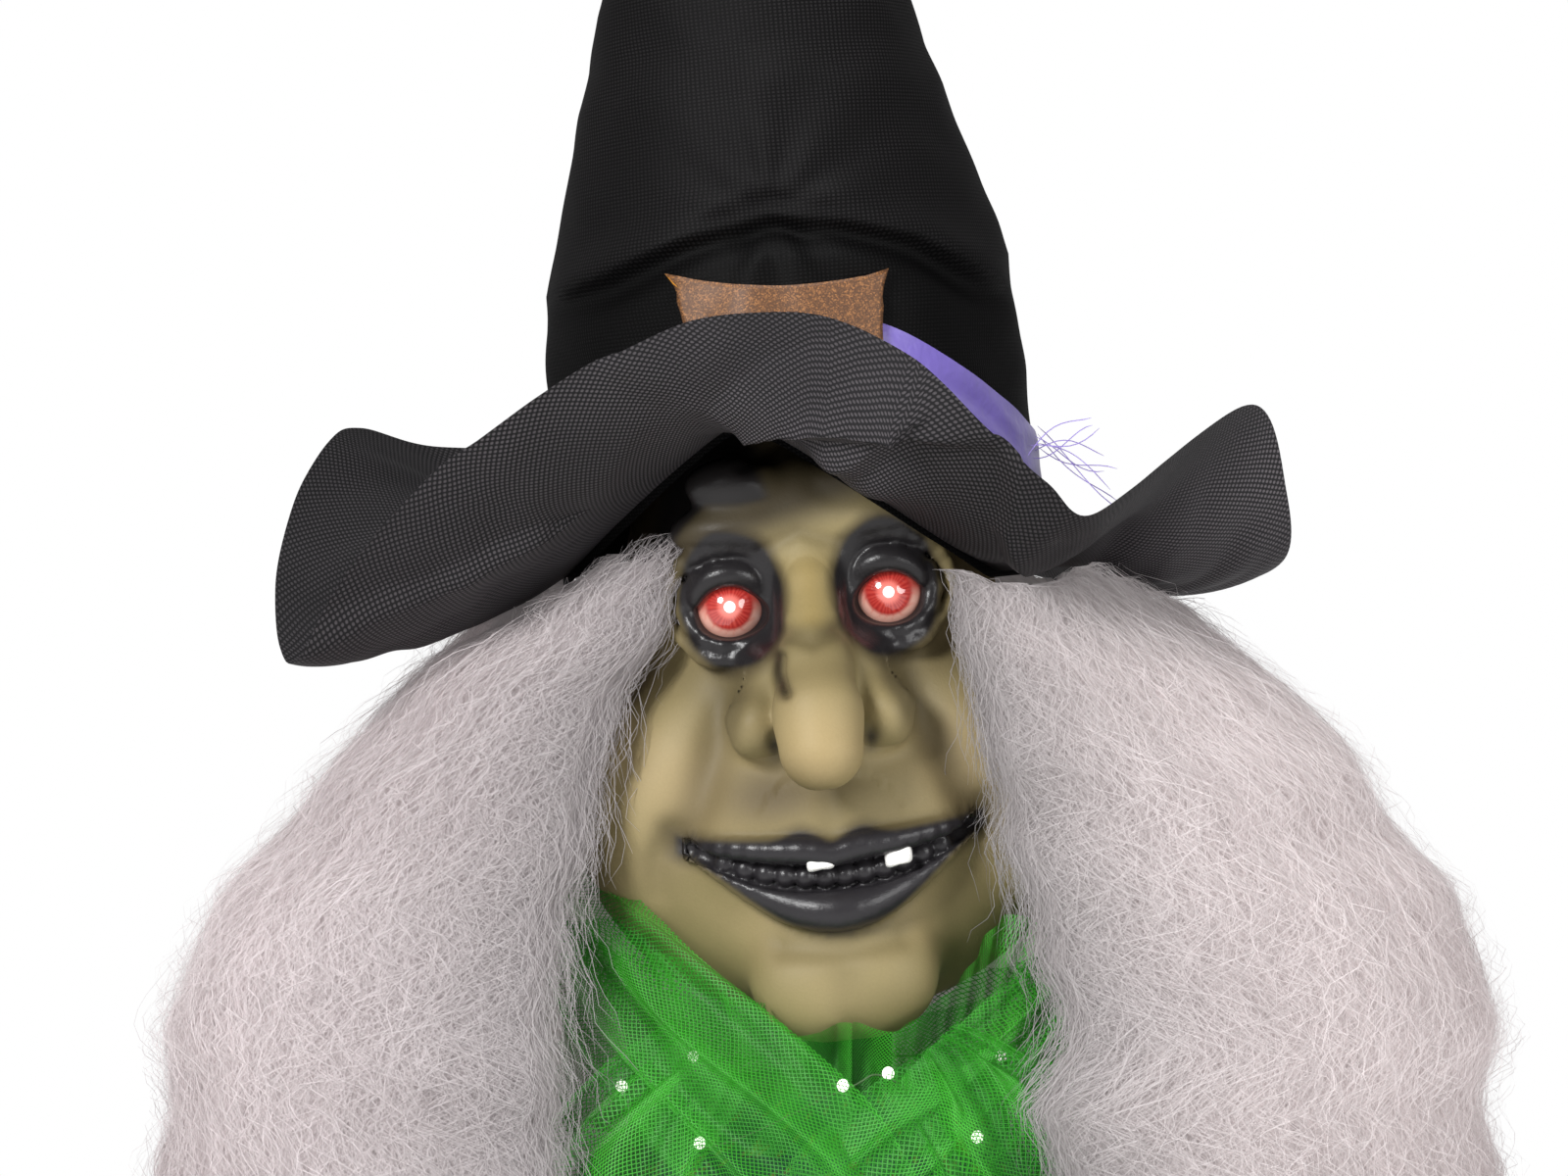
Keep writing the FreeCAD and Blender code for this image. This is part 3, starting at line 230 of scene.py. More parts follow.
class Shader:
    """A material's node tree, with one principled surface and short ways to add to it."""

    def __init__(self, name, colour=(0.5, 0.5, 0.5), rough=0.6, **sockets):
        self.material = bpy.data.materials.new(name)
        self.material.use_nodes = True
        self.tree = self.material.node_tree
        self.surface = self.tree.nodes["Principled BSDF"]
        self.output = self.tree.nodes["Material Output"]
        self.surface.inputs["Base Color"].default_value = (*colour, 1.0)
        self.surface.inputs["Roughness"].default_value = rough
        for key, value in sockets.items():
            self.surface.inputs[key.replace("_", " ")].default_value = value

    def add(self, kind, settings=(), **values):
        node = self.tree.nodes.new(kind)
        for key, value in dict(settings).items():
            setattr(node, key, value)
        for key, value in values.items():
            socket = node.inputs[int(key[1:])] if key[0] == "i" and key[1:].isdigit() else node.inputs[key]
            if isinstance(value, bpy.types.NodeSocket):
                self.tree.links.new(value, socket)
            else:
                socket.default_value = value
        return node

    def link(self, output, input_socket):
        self.tree.links.new(output, input_socket)

    def math(self, operation, a, b=0.0):
        return self.add("ShaderNodeMath", {"operation": operation}, i0=a, i1=b).outputs[0]

    def tint(self):
        """The colours stored on the mesh."""
        return self.add("ShaderNodeVertexColor", {"layer_name": "tint"}).outputs["Color"]

    def map(self, scale_u, scale_v, turn=0.0):
        """The mesh's map in millimetres, scaled and turned."""
        source = self.add("ShaderNodeUVMap", {"uv_map": "map"}).outputs["UV"]
        scaled = self.add("ShaderNodeMapping", Vector=source)
        scaled.inputs["Scale"].default_value = (scale_u, scale_v, 1.0)
        scaled.inputs["Rotation"].default_value = (0.0, 0.0, turn)
        return scaled.outputs["Vector"]

    def dots(self, pitch, size, turn=0.0):
        """1 on the middle of each cell of a square lattice, fading to 0 at a share of the pitch."""
        place = self.map(1 / pitch, 1 / pitch, turn)
        cell = self.add("ShaderNodeVectorMath", {"operation": "FRACTION"}, i0=place).outputs[0]
        offset = self.add("ShaderNodeVectorMath", {"operation": "SUBTRACT"}, i0=cell)
        offset.inputs[1].default_value = (0.5, 0.5, 0.0)
        flat = self.add("ShaderNodeVectorMath", {"operation": "MULTIPLY"}, i0=offset.outputs[0])
        flat.inputs[1].default_value = (1.0, 1.0, 0.0)
        away = self.add("ShaderNodeVectorMath", {"operation": "LENGTH"}, i0=flat.outputs[0]).outputs["Value"]
        return self.add("ShaderNodeMapRange", {"interpolation_type": "SMOOTHSTEP"}, i0=away, i1=size * 0.45,
                        i2=size, i3=1.0, i4=0.0).outputs[0]

    def noise(self, scale, detail=2.0):
        place = self.add("ShaderNodeTexCoord").outputs["Object"]
        return self.add("ShaderNodeTexNoise", Vector=place, Scale=scale, Detail=detail).outputs["Fac"]

    def blend(self, share, a, b):
        """Colour a mixed towards b."""
        node = self.add("ShaderNodeMix", {"data_type": "RGBA"}, i0=share)
        for socket, value in ((node.inputs[6], a), (node.inputs[7], b)):
            if isinstance(value, bpy.types.NodeSocket):
                self.link(value, socket)
            else:
                socket.default_value = (*value, 1.0)
        return node.outputs[2]

    def colour(self, socket):
        self.link(socket, self.surface.inputs["Base Color"])

    def bump(self, height, distance, strength=1.0):
        node = self.add("ShaderNodeBump", Height=height, Distance=distance * MM, Strength=strength)
        self.link(node.outputs["Normal"], self.surface.inputs["Normal"])


def plain(name, colour, rough, **sockets):
    return Shader(name, colour, rough, **sockets).material


def vinyl_material():
    """Painted soft vinyl: the paint, with painted light and shade among it, is on the mesh, with fine pores and a
    low sheen.
    """
    shader = Shader("painted_vinyl", rough=0.5, Specular_IOR_Level=0.34)
    pores = shader.noise(900.0, 3.0)
    shade = shader.blend(shader.math("MULTIPLY", pores, 0.12), shader.tint(), (0.02, 0.02, 0.015))
    shader.colour(shade)
    shader.bump(pores, 0.12)
    bright = shader.add("ShaderNodeRGBToBW", Color=shader.tint()).outputs[0]
    rough = shader.add("ShaderNodeMapRange", i0=bright, i1=0.018, i2=0.05, i3=0.3, i4=0.6)
    shader.link(rough.outputs[0], shader.surface.inputs["Roughness"])
    return shader.material


def hat_material(name, pitch, size, turn, base, dot, gloss):
    """Black non-woven cloth, embossed with a lattice of dots: pitch (mm), size and turn, then its colours."""
    shader = Shader(name, base, 0.6, Specular_IOR_Level=gloss)
    lattice = shader.dots(pitch, size, turn)
    fibres = shader.noise(2200.0, 3.0)
    patches = shader.noise(9.0, 2.0)
    worn = shader.math("MULTIPLY", patches, 1.35)
    shade = shader.math("MULTIPLY", shader.math("MULTIPLY", lattice, 0.85), worn)
    # The mesh's tint multiplies the cloth's colour: painted light and shade on the brim's facets, and painted
    # shade under the crown's fold.
    painted_light_tint = shader.add("ShaderNodeMix", {"data_type": "RGBA", "blend_type": "MULTIPLY"}, i0=1.0)
    shader.link(shader.blend(shade, base, dot), painted_light_tint.inputs[6])
    shader.link(shader.tint(), painted_light_tint.inputs[7])
    shader.colour(painted_light_tint.outputs[2])
    height = shader.math("ADD", shader.math("MULTIPLY", fibres, 0.3), shader.math("MULTIPLY", lattice, -0.8))
    shader.bump(height, 0.25, 0.8)
    return shader.material


def net_material():
    """Fine green net: threads on a diagonal lattice with open holes."""
    shader = Shader("green_net", rough=0.55)
    place = shader.map(1 / NET_HOLE, 1 / NET_HOLE, math.radians(45))
    cell = shader.add("ShaderNodeVectorMath", {"operation": "FRACTION"}, i0=place).outputs[0]
    parts = shader.add("ShaderNodeSeparateXYZ", Vector=cell)
    threads = None
    for name in ("X", "Y"):
        away = shader.math("ABSOLUTE", shader.math("SUBTRACT", parts.outputs[name], 0.5))
        near_edge = shader.math("GREATER_THAN", away, 0.5 - NET_THREAD / NET_HOLE / 2)
        threads = near_edge if threads is None else shader.math("MAXIMUM", threads, near_edge)
    shader.colour(shader.tint())
    through = shader.add("ShaderNodeBsdfTranslucent", Color=shader.tint())
    glow = shader.add("ShaderNodeMixShader", i0=0.35, i1=shader.surface.outputs[0], i2=through.outputs[0])
    clear = shader.add("ShaderNodeBsdfTransparent")
    cover = shader.math("MAXIMUM", threads, NET_HAZE)
    whole = shader.add("ShaderNodeMixShader", i0=cover, i1=clear.outputs[0], i2=glow.outputs[0])
    shader.link(whole.outputs[0], shader.output.inputs["Surface"])
    return shader.material


def hair_material(name, thin):
    """Fine pale synthetic fibre that lets light through, with a faint glow in its own colour that is painted
    light.
    """
    shader = Shader(name, rough=0.55, Specular_IOR_Level=0.35, Emission_Strength=0.13)
    shader.colour(shader.tint())
    through = shader.add("ShaderNodeBsdfTranslucent", Color=shader.tint())
    # The hair glows faintly in its own colour: painted light standing in for light scattered through the fibres.
    shader.link(shader.tint(), shader.surface.inputs["Emission Color"])
    both = shader.add("ShaderNodeMixShader", i0=0.4 if thin else 0.2, i1=shader.surface.outputs[0],
                      i2=through.outputs[0])
    shader.link(both.outputs[0], shader.output.inputs["Surface"])
    return shader.material


def cloth_material(name, base, dark):
    """The dress's cloth: woven teal, with the specks painted on its mesh."""
    shader = Shader(name, base, 0.8, Sheen_Weight=0.3)
    weave = shader.dots(0.9, 0.6)
    patches = shader.noise(14.0, 3.0)
    shader.colour(shader.blend(shader.math("MULTIPLY", patches, 0.5), shader.tint(), dark))
    shader.bump(weave, 0.12)
    return shader.material


NET_HOLE, NET_THREAD, NET_HAZE = 1.9, 0.42, 0.16

SKIN = linear(146, 132, 92)
SKIN_LIGHT = linear(172, 153, 112)
SKIN_DARK = linear(100, 88, 56)
# Black and brown serve as the mask's own paint and as painted shade: in creases and hollows, under the nose and in
# the brim's shadow.
BLACK_PAINT_AND_SHADE = linear(34, 32, 34)
BROWN_PAINT_AND_SHADE = linear(52, 44, 30)

# ---------------------------------------------------------------- sculpting with distances


def ellipsoid(p, centre, radii):
    """Distance from points to an ellipsoid, good near its surface."""
    q = (p - np.array(centre, np.float32)) / np.array(radii, np.float32)
    k0 = np.sqrt((q * q).sum(-1)) + 1e-9
    q = q / np.array(radii, np.float32)
    return k0 * (k0 - 1) / (np.sqrt((q * q).sum(-1)) + 1e-9)


def capsule(p, a, b, radius_a, radius_b):
    """Distance from points to a round bar that tapers between two ends."""
    a, b = np.array(a, np.float32), np.array(b, np.float32)
    along = b - a
    t = np.clip((p - a) @ along / max(along @ along, 1e-9), 0.0, 1.0)
    return np.linalg.norm(p - a - t[:, None] * along, axis=1) - (radius_a + (radius_b - radius_a) * t)


class Clay:
    """A distance at each of many points, worked by adding to it and cutting it near each feature."""

    def __init__(self, points):
        self.points = np.asarray(points, np.float32)
        self.distance = np.full(len(self.points), 1e3, np.float32)

    def work(self, shape, centre, reach, ease, cut=False):
        offset = np.abs(self.points - np.array(centre, np.float32))
        near = np.nonzero((offset < np.array(reach, np.float32) + 2.5 * ease + 2.0).all(-1))[0]
        if not len(near):
            return
        old, new = self.distance[near], shape(self.points[near])
        if cut:
            old, new = -old, new
        h = np.maximum(ease - np.abs(old - new), 0.0) / ease
        joined = np.minimum(old, new) - h * h * ease * 0.25
        self.distance[near] = -joined if cut else joined

    def ball(self, centre, radii, ease, cut=False):
        self.work(lambda p: ellipsoid(p, centre, radii), centre, radii, ease, cut)

    def balls(self, items, cut=False):
        """Balls on both sides, from rows of (centre, half sizes, ease)."""
        for centre, radii, ease in both_sides(items):
            self.ball(centre, radii, ease, cut)

    def chain(self, points, ease, cut=False):
        """A bent round bar through points of (x, y, z, radius)."""
        for a, b in zip(points, points[1:]):
            a, b = np.asarray(a, float), np.asarray(b, float)
            reach = np.abs(a[:3] - b[:3]) / 2 + max(a[3], b[3])
            self.work(lambda p: capsule(p, a[:3], b[:3], a[3], b[3]), (a[:3] + b[:3]) / 2, reach, ease, cut)


def grid_points(low, high, step):
    axes = [np.arange(l, h + step / 2, step, dtype=np.float32) for l, h in zip(low, high)]
    shape = tuple(len(a) for a in axes)
    return np.stack(np.meshgrid(*axes, indexing="ij"), -1).reshape(-1, 3), shape


def zero_surface(values, low, step):
    """Quads over the zero level of a grid of distances. Each corner is the middle of its cell's crossings."""
    inside = values < 0
    cells_shape = np.array(values.shape) - 1
    total = np.zeros(cells_shape, np.int8)
    for corner in np.ndindex(2, 2, 2):
        total += inside[tuple(slice(c, c + n) for c, n in zip(corner, cells_shape))]
    mixed = (total > 0) & (total < 8)
    index = np.full(cells_shape, -1, np.int32)
    cells = np.argwhere(mixed)
    index[mixed] = np.arange(len(cells))
    sums, counts = np.zeros((len(cells), 3)), np.zeros(len(cells))
    for axis in range(3):
        across = [k for k in range(3) if k != axis]
        for offsets in np.ndindex(2, 2):
            start = cells.copy()
            start[:, across] += offsets
            end = start.copy()
            end[:, axis] += 1
            a, b = values[tuple(start.T)], values[tuple(end.T)]
            crossing = (a < 0) != (b < 0)
            place = start[crossing].astype(float)
            place[:, axis] += a[crossing] / (a[crossing] - b[crossing])
            sums[crossing] += place
            counts[crossing] += 1
    points = np.array(low) + step * sums / counts[:, None]
    faces = []
    for axis in range(3):
        u, v = [k for k in range(3) if k != axis]
        first = [slice(None)] * 3
        second = [slice(None)] * 3
        first[axis], second[axis] = slice(0, -1), slice(1, None)
        edges = np.argwhere(inside[tuple(first)] != inside[tuple(second)])
        within = (edges[:, u] > 0) & (edges[:, u] < cells_shape[u])
        within &= (edges[:, v] > 0) & (edges[:, v] < cells_shape[v])
        edges = edges[within]
        quad = []
        for du, dv in ((-1, -1), (0, -1), (0, 0), (-1, 0)):
            corner = edges.copy()
            corner[:, u] += du
            corner[:, v] += dv
            quad.append(index[tuple(corner.T)])
        quad = np.stack(quad, 1)
        forward = inside[tuple(edges.T)]
        if axis == 1:
            forward = ~forward
        quad[~forward] = quad[~forward][:, ::-1]
        faces.append(quad)
    return points, np.concatenate(faces)


def sculpt(shape_of, low, high, step):
    """Points and faces of a form given by a function from points to distances, settled onto its surface."""
    points, shape = grid_points(low, high, step)
    values = shape_of(points).reshape(shape)
    found, faces = zero_surface(values, low, step)
    nudge = 0.4
    for _ in range(2):
        p = found.astype(np.float32)
        here = shape_of(p)
        slope = np.stack([shape_of(p + np.eye(3, dtype=np.float32)[k] * nudge) - here for k in range(3)], -1)
        slope /= nudge
        steepness = np.maximum((slope * slope).sum(-1), 0.2)
        move = np.clip(here / steepness, -step, step)
        found = found - slope * move[:, None]
    return found, faces, slope / np.sqrt(steepness)[:, None]


def line_distance(x, y, line):
    """How far places are from a bent line, and whether each is on the left of it."""
    best = np.full(np.shape(x), np.inf)
    on_left = np.zeros(np.shape(x), bool)
    for (ax, ay), (bx, by) in zip(line, line[1:]):
        along_x, along_y = bx - ax, by - ay
        t = np.clip(((x - ax) * along_x + (y - ay) * along_y) / (along_x**2 + along_y**2), 0.0, 1.0)
        away = np.hypot(x - ax - t * along_x, y - ay - t * along_y)
        on_left = np.where(away < best, along_x * (y - ay) - along_y * (x - ax) > 0, on_left)
        best = np.minimum(best, away)
    return best, on_left


def stroke_shade(x, z, line, width, mirrored=False):
    """1 on a line drawn on the front of a form, fading to 0 over its width."""
    shade = hump(line_distance(x, z, line)[0], 0, width)
    if mirrored:
        shade = np.maximum(shade, stroke_shade(-x, z, line, width))
    return shade


# ---------------------------------------------------------------- face

EYE_X, EYE_Y, EYE_Z, EYE_R = 33.8, -71.0, 191.0, 15.5
MOUTH_HALF = 63.0
FACE_LOW, FACE_HIGH = (-117.0, -160.0, -6.0), (117.0, 14.0, 292.0)
FACE_STEP = 1.5

# Each is (centre, half sizes, how softly it joins). Those off the middle are mirrored. The first ones make
# the plain face, and the rest its features.
FACE_PLAIN_MASSES = 6
FACE_MASSES = [
    ((0, 6, 168), (84, 98, 138), 1),
    ((0, -16, 92), (106, 70, 84), 26),
    ((60, -52, 124), (32, 30, 36), 20),
    ((0, -68, 98), (57, 33, 34), 18),
    ((0, -64, 36), (40, 32, 34), 16),
    ((80, -44, 102), (28, 32, 46), 14),
    ((15, -79, 27), (22, 16, 20), 14),
    ((31, -78, 224), (25, 17, 12), 10),
    ((0, -78, 222), (24, 14, 28), 14),
    ((0, -90, 156), (34, 22, 30), 16),
    ((29, -84, 243), (19, 11, 11), 8),
    ((29, -101, 142), (15, 19, 15), 10),
]
FACE_HOLLOWS = [
    ((34, -104, 191), (24, 19, 23), 8),
    ((20.0, -118, 131), (2.6, 7, 5.5), 3),
]
# The nose's ridge from the brow to the tip: across, back, up and radius
NOSE = [
    (0, -82, 212, 11.0), (0, -92, 195, 10.5), (0, -100, 181, 11.5),
    (-1, -115, 163, 14.5), (-1, -128, 144, 17.2), (-1, -133, 129, 17.6),
]
# Creases and folds drawn on the front: line, width, depth, how dark (airbrushed brown, partly the mask's paint and
# partly painted shade), whether mirrored
STROKES = [
    ([(34, 158), (40, 148), (47, 129), (56, 107), (63, 92)], 8.0, 4.0, 0.45, True),
    ([(-11, 178), (0, 174), (11, 178)], 4.0, 2.2, 0.35, False),
    ([(-15, 204), (-17, 190), (-18, 176)], 4.5, 1.6, 0.6, False),
    ([(-15, 169), (-16, 162), (-14, 154)], 2.4, 3.5, 0.95, False),
    ([(-26, 46), (0, 43), (26, 46)], 6.0, 3.0, 0.25, False),
    ([(69, 98), (75, 86), (77, 72)], 6.0, 3.0, 0.45, True),
    ([(60, 172), (74, 156), (84, 136)], 9.0, 2.0, 0.2, True),
    ([(-18, 213), (-2, 220), (14, 214)], 3.2, 1.6, 0.25, False),
    ([(0, 107), (0, 95)], 4.5, 1.6, 0.15, False),
    ([(2, 30), (1, 10)], 7.0, 1.6, 0.12, False),
    ([(-22, 250), (-2, 262), (16, 248)], 3.5, 2.2, 0.4, False),
    ([(86, 128), (95, 104), (94, 78)], 7.0, 2.6, 0.25, True),
    ([(44, 161), (58, 165), (72, 165)], 9.0, 0.8, 0.3, True),
]
STROKE_PAINT_SPREAD = 1.25


def both_sides(items):
    found = []
    for centre, radii, ease in items:
        found.append((centre, radii, ease))
        if centre[0]:
            found.append(((-centre[0], centre[1], centre[2]), radii, ease))
    return found


def mouth_line(x):
    return 79.0 + 12.0 * (x / MOUTH_HALF) ** 2


def mouth_fullness(x):
    """1 in the middle of the mouth and 0 at its corners."""
    return np.maximum(1.0 - (x / MOUTH_HALF) ** 2, 0.0)


def face_front(x, z):
    """The y of the plain face's front at a place, before its features."""
    x, z = np.atleast_1d(x).astype(np.float32), np.atleast_1d(z).astype(np.float32)
    near, far = np.full(len(x), -170.0, np.float32), np.full(len(x), 0.0, np.float32)
    for _ in range(18):
        middle = (near + far) / 2
        clay = Clay(np.stack([x, middle, z], -1))
        clay.balls(FACE_MASSES[:FACE_PLAIN_MASSES])
        inside = clay.distance < 0
        far, near = np.where(inside, middle, far), np.where(inside, near, middle)
    return far


def lip_chain(count, height, radius, out):
    """A bent bar that follows the mouth. Height above its line, radius and distance out depend on x."""
    x = np.linspace(-1, 1, count) * (MOUTH_HALF - 2)
    z = mouth_line(x) + height(x)
    y = face_front(x, z) - out(x)
    return np.stack([x, y, z, radius(x)], -1)


def eye_ring(side, radius, thick, start, end, y, rise=0.0):
    """Part of a ring round an eye, as a chain. Angles run from the outer corner over the top."""
    a = np.radians(np.linspace(start, end, 15))
    taper = 0.55 + 0.45 * np.sin(np.linspace(0, math.pi, 15)) if end - start < 360 else np.ones(15)
    x = side * (EYE_X + 1.14 * radius * np.cos(a))
    depth = y + 0.10 * (radius * np.cos(a)) ** 2 / 4
    return np.stack([x, depth, EYE_Z + radius * np.sin(a) + rise, thick * taper], -1)


UPPER_LIP = lip_chain(19, lambda x: 2.5 + 4.5 * mouth_fullness(x) - 2.0 * hump(x, 0, 7),
                      lambda x: 2.6 + 2.8 * mouth_fullness(x), lambda x: 1.5 + 0 * x)
LOWER_LIP = lip_chain(19, lambda x: -2.5 - 17.0 * mouth_fullness(x) ** 1.8,
                      lambda x: 2.4 + 6.6 * mouth_fullness(x) ** 1.8, lambda x: 1.0 + 4.0 * mouth_fullness(x))
MOUTH_CUT = lip_chain(19, lambda x: -0.5 - 5.0 * mouth_fullness(x),
                      lambda x: 1.6 + 4.6 * mouth_fullness(x), lambda x: 2.0 + 0 * x)
GUM_X = np.linspace(-46, 46, 12)
GUM_Z = mouth_line(GUM_X) - 5.0 * mouth_fullness(GUM_X)
GUM_Y = face_front(GUM_X, GUM_Z) + 1.6


def face_shape(points):
    clay = Clay(points)
    clay.balls(FACE_MASSES)
    clay.balls(FACE_HOLLOWS[:1], cut=True)
    clay.chain(NOSE, 8.0)
    clay.balls(FACE_HOLLOWS[1:], cut=True)
    for side in (-1, 1):
        clay.chain(eye_ring(side, 16.5, 4.3, 0, 360, -84), 2.4)
        clay.chain(eye_ring(side, 13.0, 4.6, 12, 168, -86.5, 1.0), 2.4)
        clay.chain(eye_ring(side, 24.0, 3.6, -8, 188, -86, 2.0), 3.0)
        clay.chain(eye_ring(side, 22.5, 4.2, 190, 350, -84, -1.0), 3.0)
        clay.ball((side * EYE_X, -86, EYE_Z - 3.4), (15.0, 14, 10.6), 1.4, cut=True)
    clay.chain(UPPER_LIP, 3.0)
    clay.chain(LOWER_LIP, 3.5)
    clay.chain(MOUTH_CUT, 2.2, cut=True)
    for x, y, z in zip(GUM_X, GUM_Y, GUM_Z):
        clay.ball((x, y, z), (4.8, 4.5, 5.0), 1.5)
    return clay.distance


def face_paint(p):
    """The mask's colours: olive skin, airbrushed creases that are partly painted shade, painted shade and
    highlights, and black round the eyes and on the lips.
    """
    x, y, z = p[:, 0], p[:, 1], p[:, 2]
    ones = np.ones(len(p))
    tint = mix(SKIN * ones[:, None], SKIN_LIGHT, 0.35 * smooth_step(-0.2, 0.9, wobble(x, z, 22, 1)))
    tint = mix(tint, SKIN_DARK, 0.35 * smooth_step(0.1, 1.0, wobble(x + 11, z, 30, 2)))
    # A lighter tan on the front of the nose tip: a painted highlight.
    tip = hump(x, -1, 26) * hump(z, 128, 26) * smooth_step(-112, -126, y)
    tint = mix(tint, linear(172, 150, 106), 0.7 * tip)
    # Lighter on the cheek bulges: a painted highlight.
    cheek_highlight = hump(np.abs(x), 62, 24) * hump(z, 118, 24)
    tint = mix(tint, SKIN_LIGHT, 0.85 * cheek_highlight)
    bridge = hump(x, 0, 9) * smooth_step(176, 184, z) * smooth_step(214, 204, z)
    tint = mix(tint, linear(159, 136, 80), 0.5 * bridge)
    # Darker brown along the creases: partly the mask's airbrushed paint, partly painted shade.
    for line, width, _, dark, mirrored in STROKES:
        shade = stroke_shade(x, z, line, STROKE_PAINT_SPREAD * width, mirrored)
        tint = mix(tint, BROWN_PAINT_AND_SHADE, dark * shade * smooth_step(-40, -60, y + 0.3 * np.abs(x)))
    # Darker brown under the nose and behind its wings: painted shade, partly the mask's airbrushed paint.
    shade_under_nose = hump(x, 0, 22) * hump(z, 112, 9) * smooth_step(-118, -108, y)
    tint = mix(tint, BROWN_PAINT_AND_SHADE, 0.45 * shade_under_nose)
    shade_behind_wings = hump(np.abs(x), 38, 7) * hump(z, 146, 14)
    tint = mix(tint, BROWN_PAINT_AND_SHADE, 0.22 * shade_behind_wings)
    shadow = hump(x, -24, 24) * hump(z, 110, 14)
    tint = mix(tint, linear(82, 68, 42), 0.8 * shadow)
    # Dark brown across the top of the forehead: the brim's painted shadow.
    tint = mix(tint, BROWN_PAINT_AND_SHADE, 0.9 * smooth_step(214, 234, z - 0.3 * x))
    # Black in the nostrils: the mask's paint, and painted shade in the hollows.
    nostril = hump(np.abs(x), 20.5, 3.0) * hump(z, 131, 5.0) * smooth_step(-128, -121, y)
    tint = mix(tint, BLACK_PAINT_AND_SHADE, 0.9 * nostril)
    front = smooth_step(-30, -50, y)
    for side in (-1, 1):
        reach = np.hypot((x - side * 33.0) / 22.5, (z - EYE_Z - 2.5) / 30.0)
        reach += 0.04 * wobble(x, z, 7, 3)
        nose_side = smooth_step(-112, -106, y)
        tint = mix(tint, BROWN_PAINT_AND_SHADE, 0.75 * smooth_step(1.22, 0.98, reach) * nose_side * front)
        tint = mix(tint, BLACK_PAINT_AND_SHADE, smooth_step(1.04, 0.93, reach) * nose_side * front)
    # Black over the left brow: the mask's black brow paint, and the painted shadow of the brim where it hangs low.
    brow_edge = 234.0 - 0.8 * np.maximum(-40 - x, 0) + 1.5 * wobble(x, z, 9, 5)
    brow = smooth_step(brow_edge - 3, brow_edge + 2, z) * smooth_step(-10, -17, x + 0.2 * (z - 235))
    tint = mix(tint, BLACK_PAINT_AND_SHADE, 0.95 * brow * front)
    full = mouth_fullness(x)
    bow = 3.4 * hump(np.abs(x), 13, 8) - 1.6 * hump(x, 0, 5)
    top = mouth_line(x) + 4.0 + 7.6 * full + bow
    bottom = mouth_line(x) - 4.0 - 25.5 * full**1.8
    lips = smooth_step(top + 1.5, top - 1.5, z) * smooth_step(bottom - 1.5, bottom + 1.5, z)
    lips = lips * smooth_step(MOUTH_HALF + 5, MOUTH_HALF + 1, np.abs(x)) * smooth_step(-40, -55, y)
    halo = smooth_step(top + 6, top, z) * smooth_step(bottom - 7, bottom, z)
    halo = halo * smooth_step(MOUTH_HALF + 12, MOUTH_HALF + 2, np.abs(x)) * smooth_step(-40, -55, y)
    tint = mix(tint, BROWN_PAINT_AND_SHADE, 0.55 * halo)
    tint = mix(tint, linear(40, 38, 41), lips)
    # Darker towards the sides, where the face turns away under the hair: painted shade.
    side_shade = smooth_step(74, 100, np.abs(x + 8)) * 0.3
    return mix(tint, SKIN_DARK, side_shade)


def build_face():
    points, faces, normal = sculpt(face_shape, FACE_LOW, FACE_HIGH, FACE_STEP)
    x, z = points[:, 0], points[:, 2]
    front = smooth_step(-36, -56, points[:, 1] + 0.3 * np.abs(x))
    for line, width, depth, _, mirrored in STROKES:
        shade = stroke_shade(x, z, line, width, mirrored)
        points = points - normal * (depth * shade * front)[:, None]
    tint = face_paint(points)
    mask = make_mesh("face_mask_skin", leaned(points), faces, vinyl_material(), "head", tint=tint)
    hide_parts("face_mask")


def ball_grid(centre, radii, count):
    """Rows of points over a ball, from its front pole (-Y) to its back."""
    along = np.linspace(0, math.pi, count)[:, None]
    around = np.linspace(0, 2 * math.pi, 2 * count, endpoint=False)[None, :]
    x = np.sin(along) * np.cos(around)
    z = np.sin(along) * np.sin(around)
    y = -np.cos(along) + 0 * around
    return np.stack([x * radii[0], y * radii[1], z * radii[2]], -1) + np.array(centre)


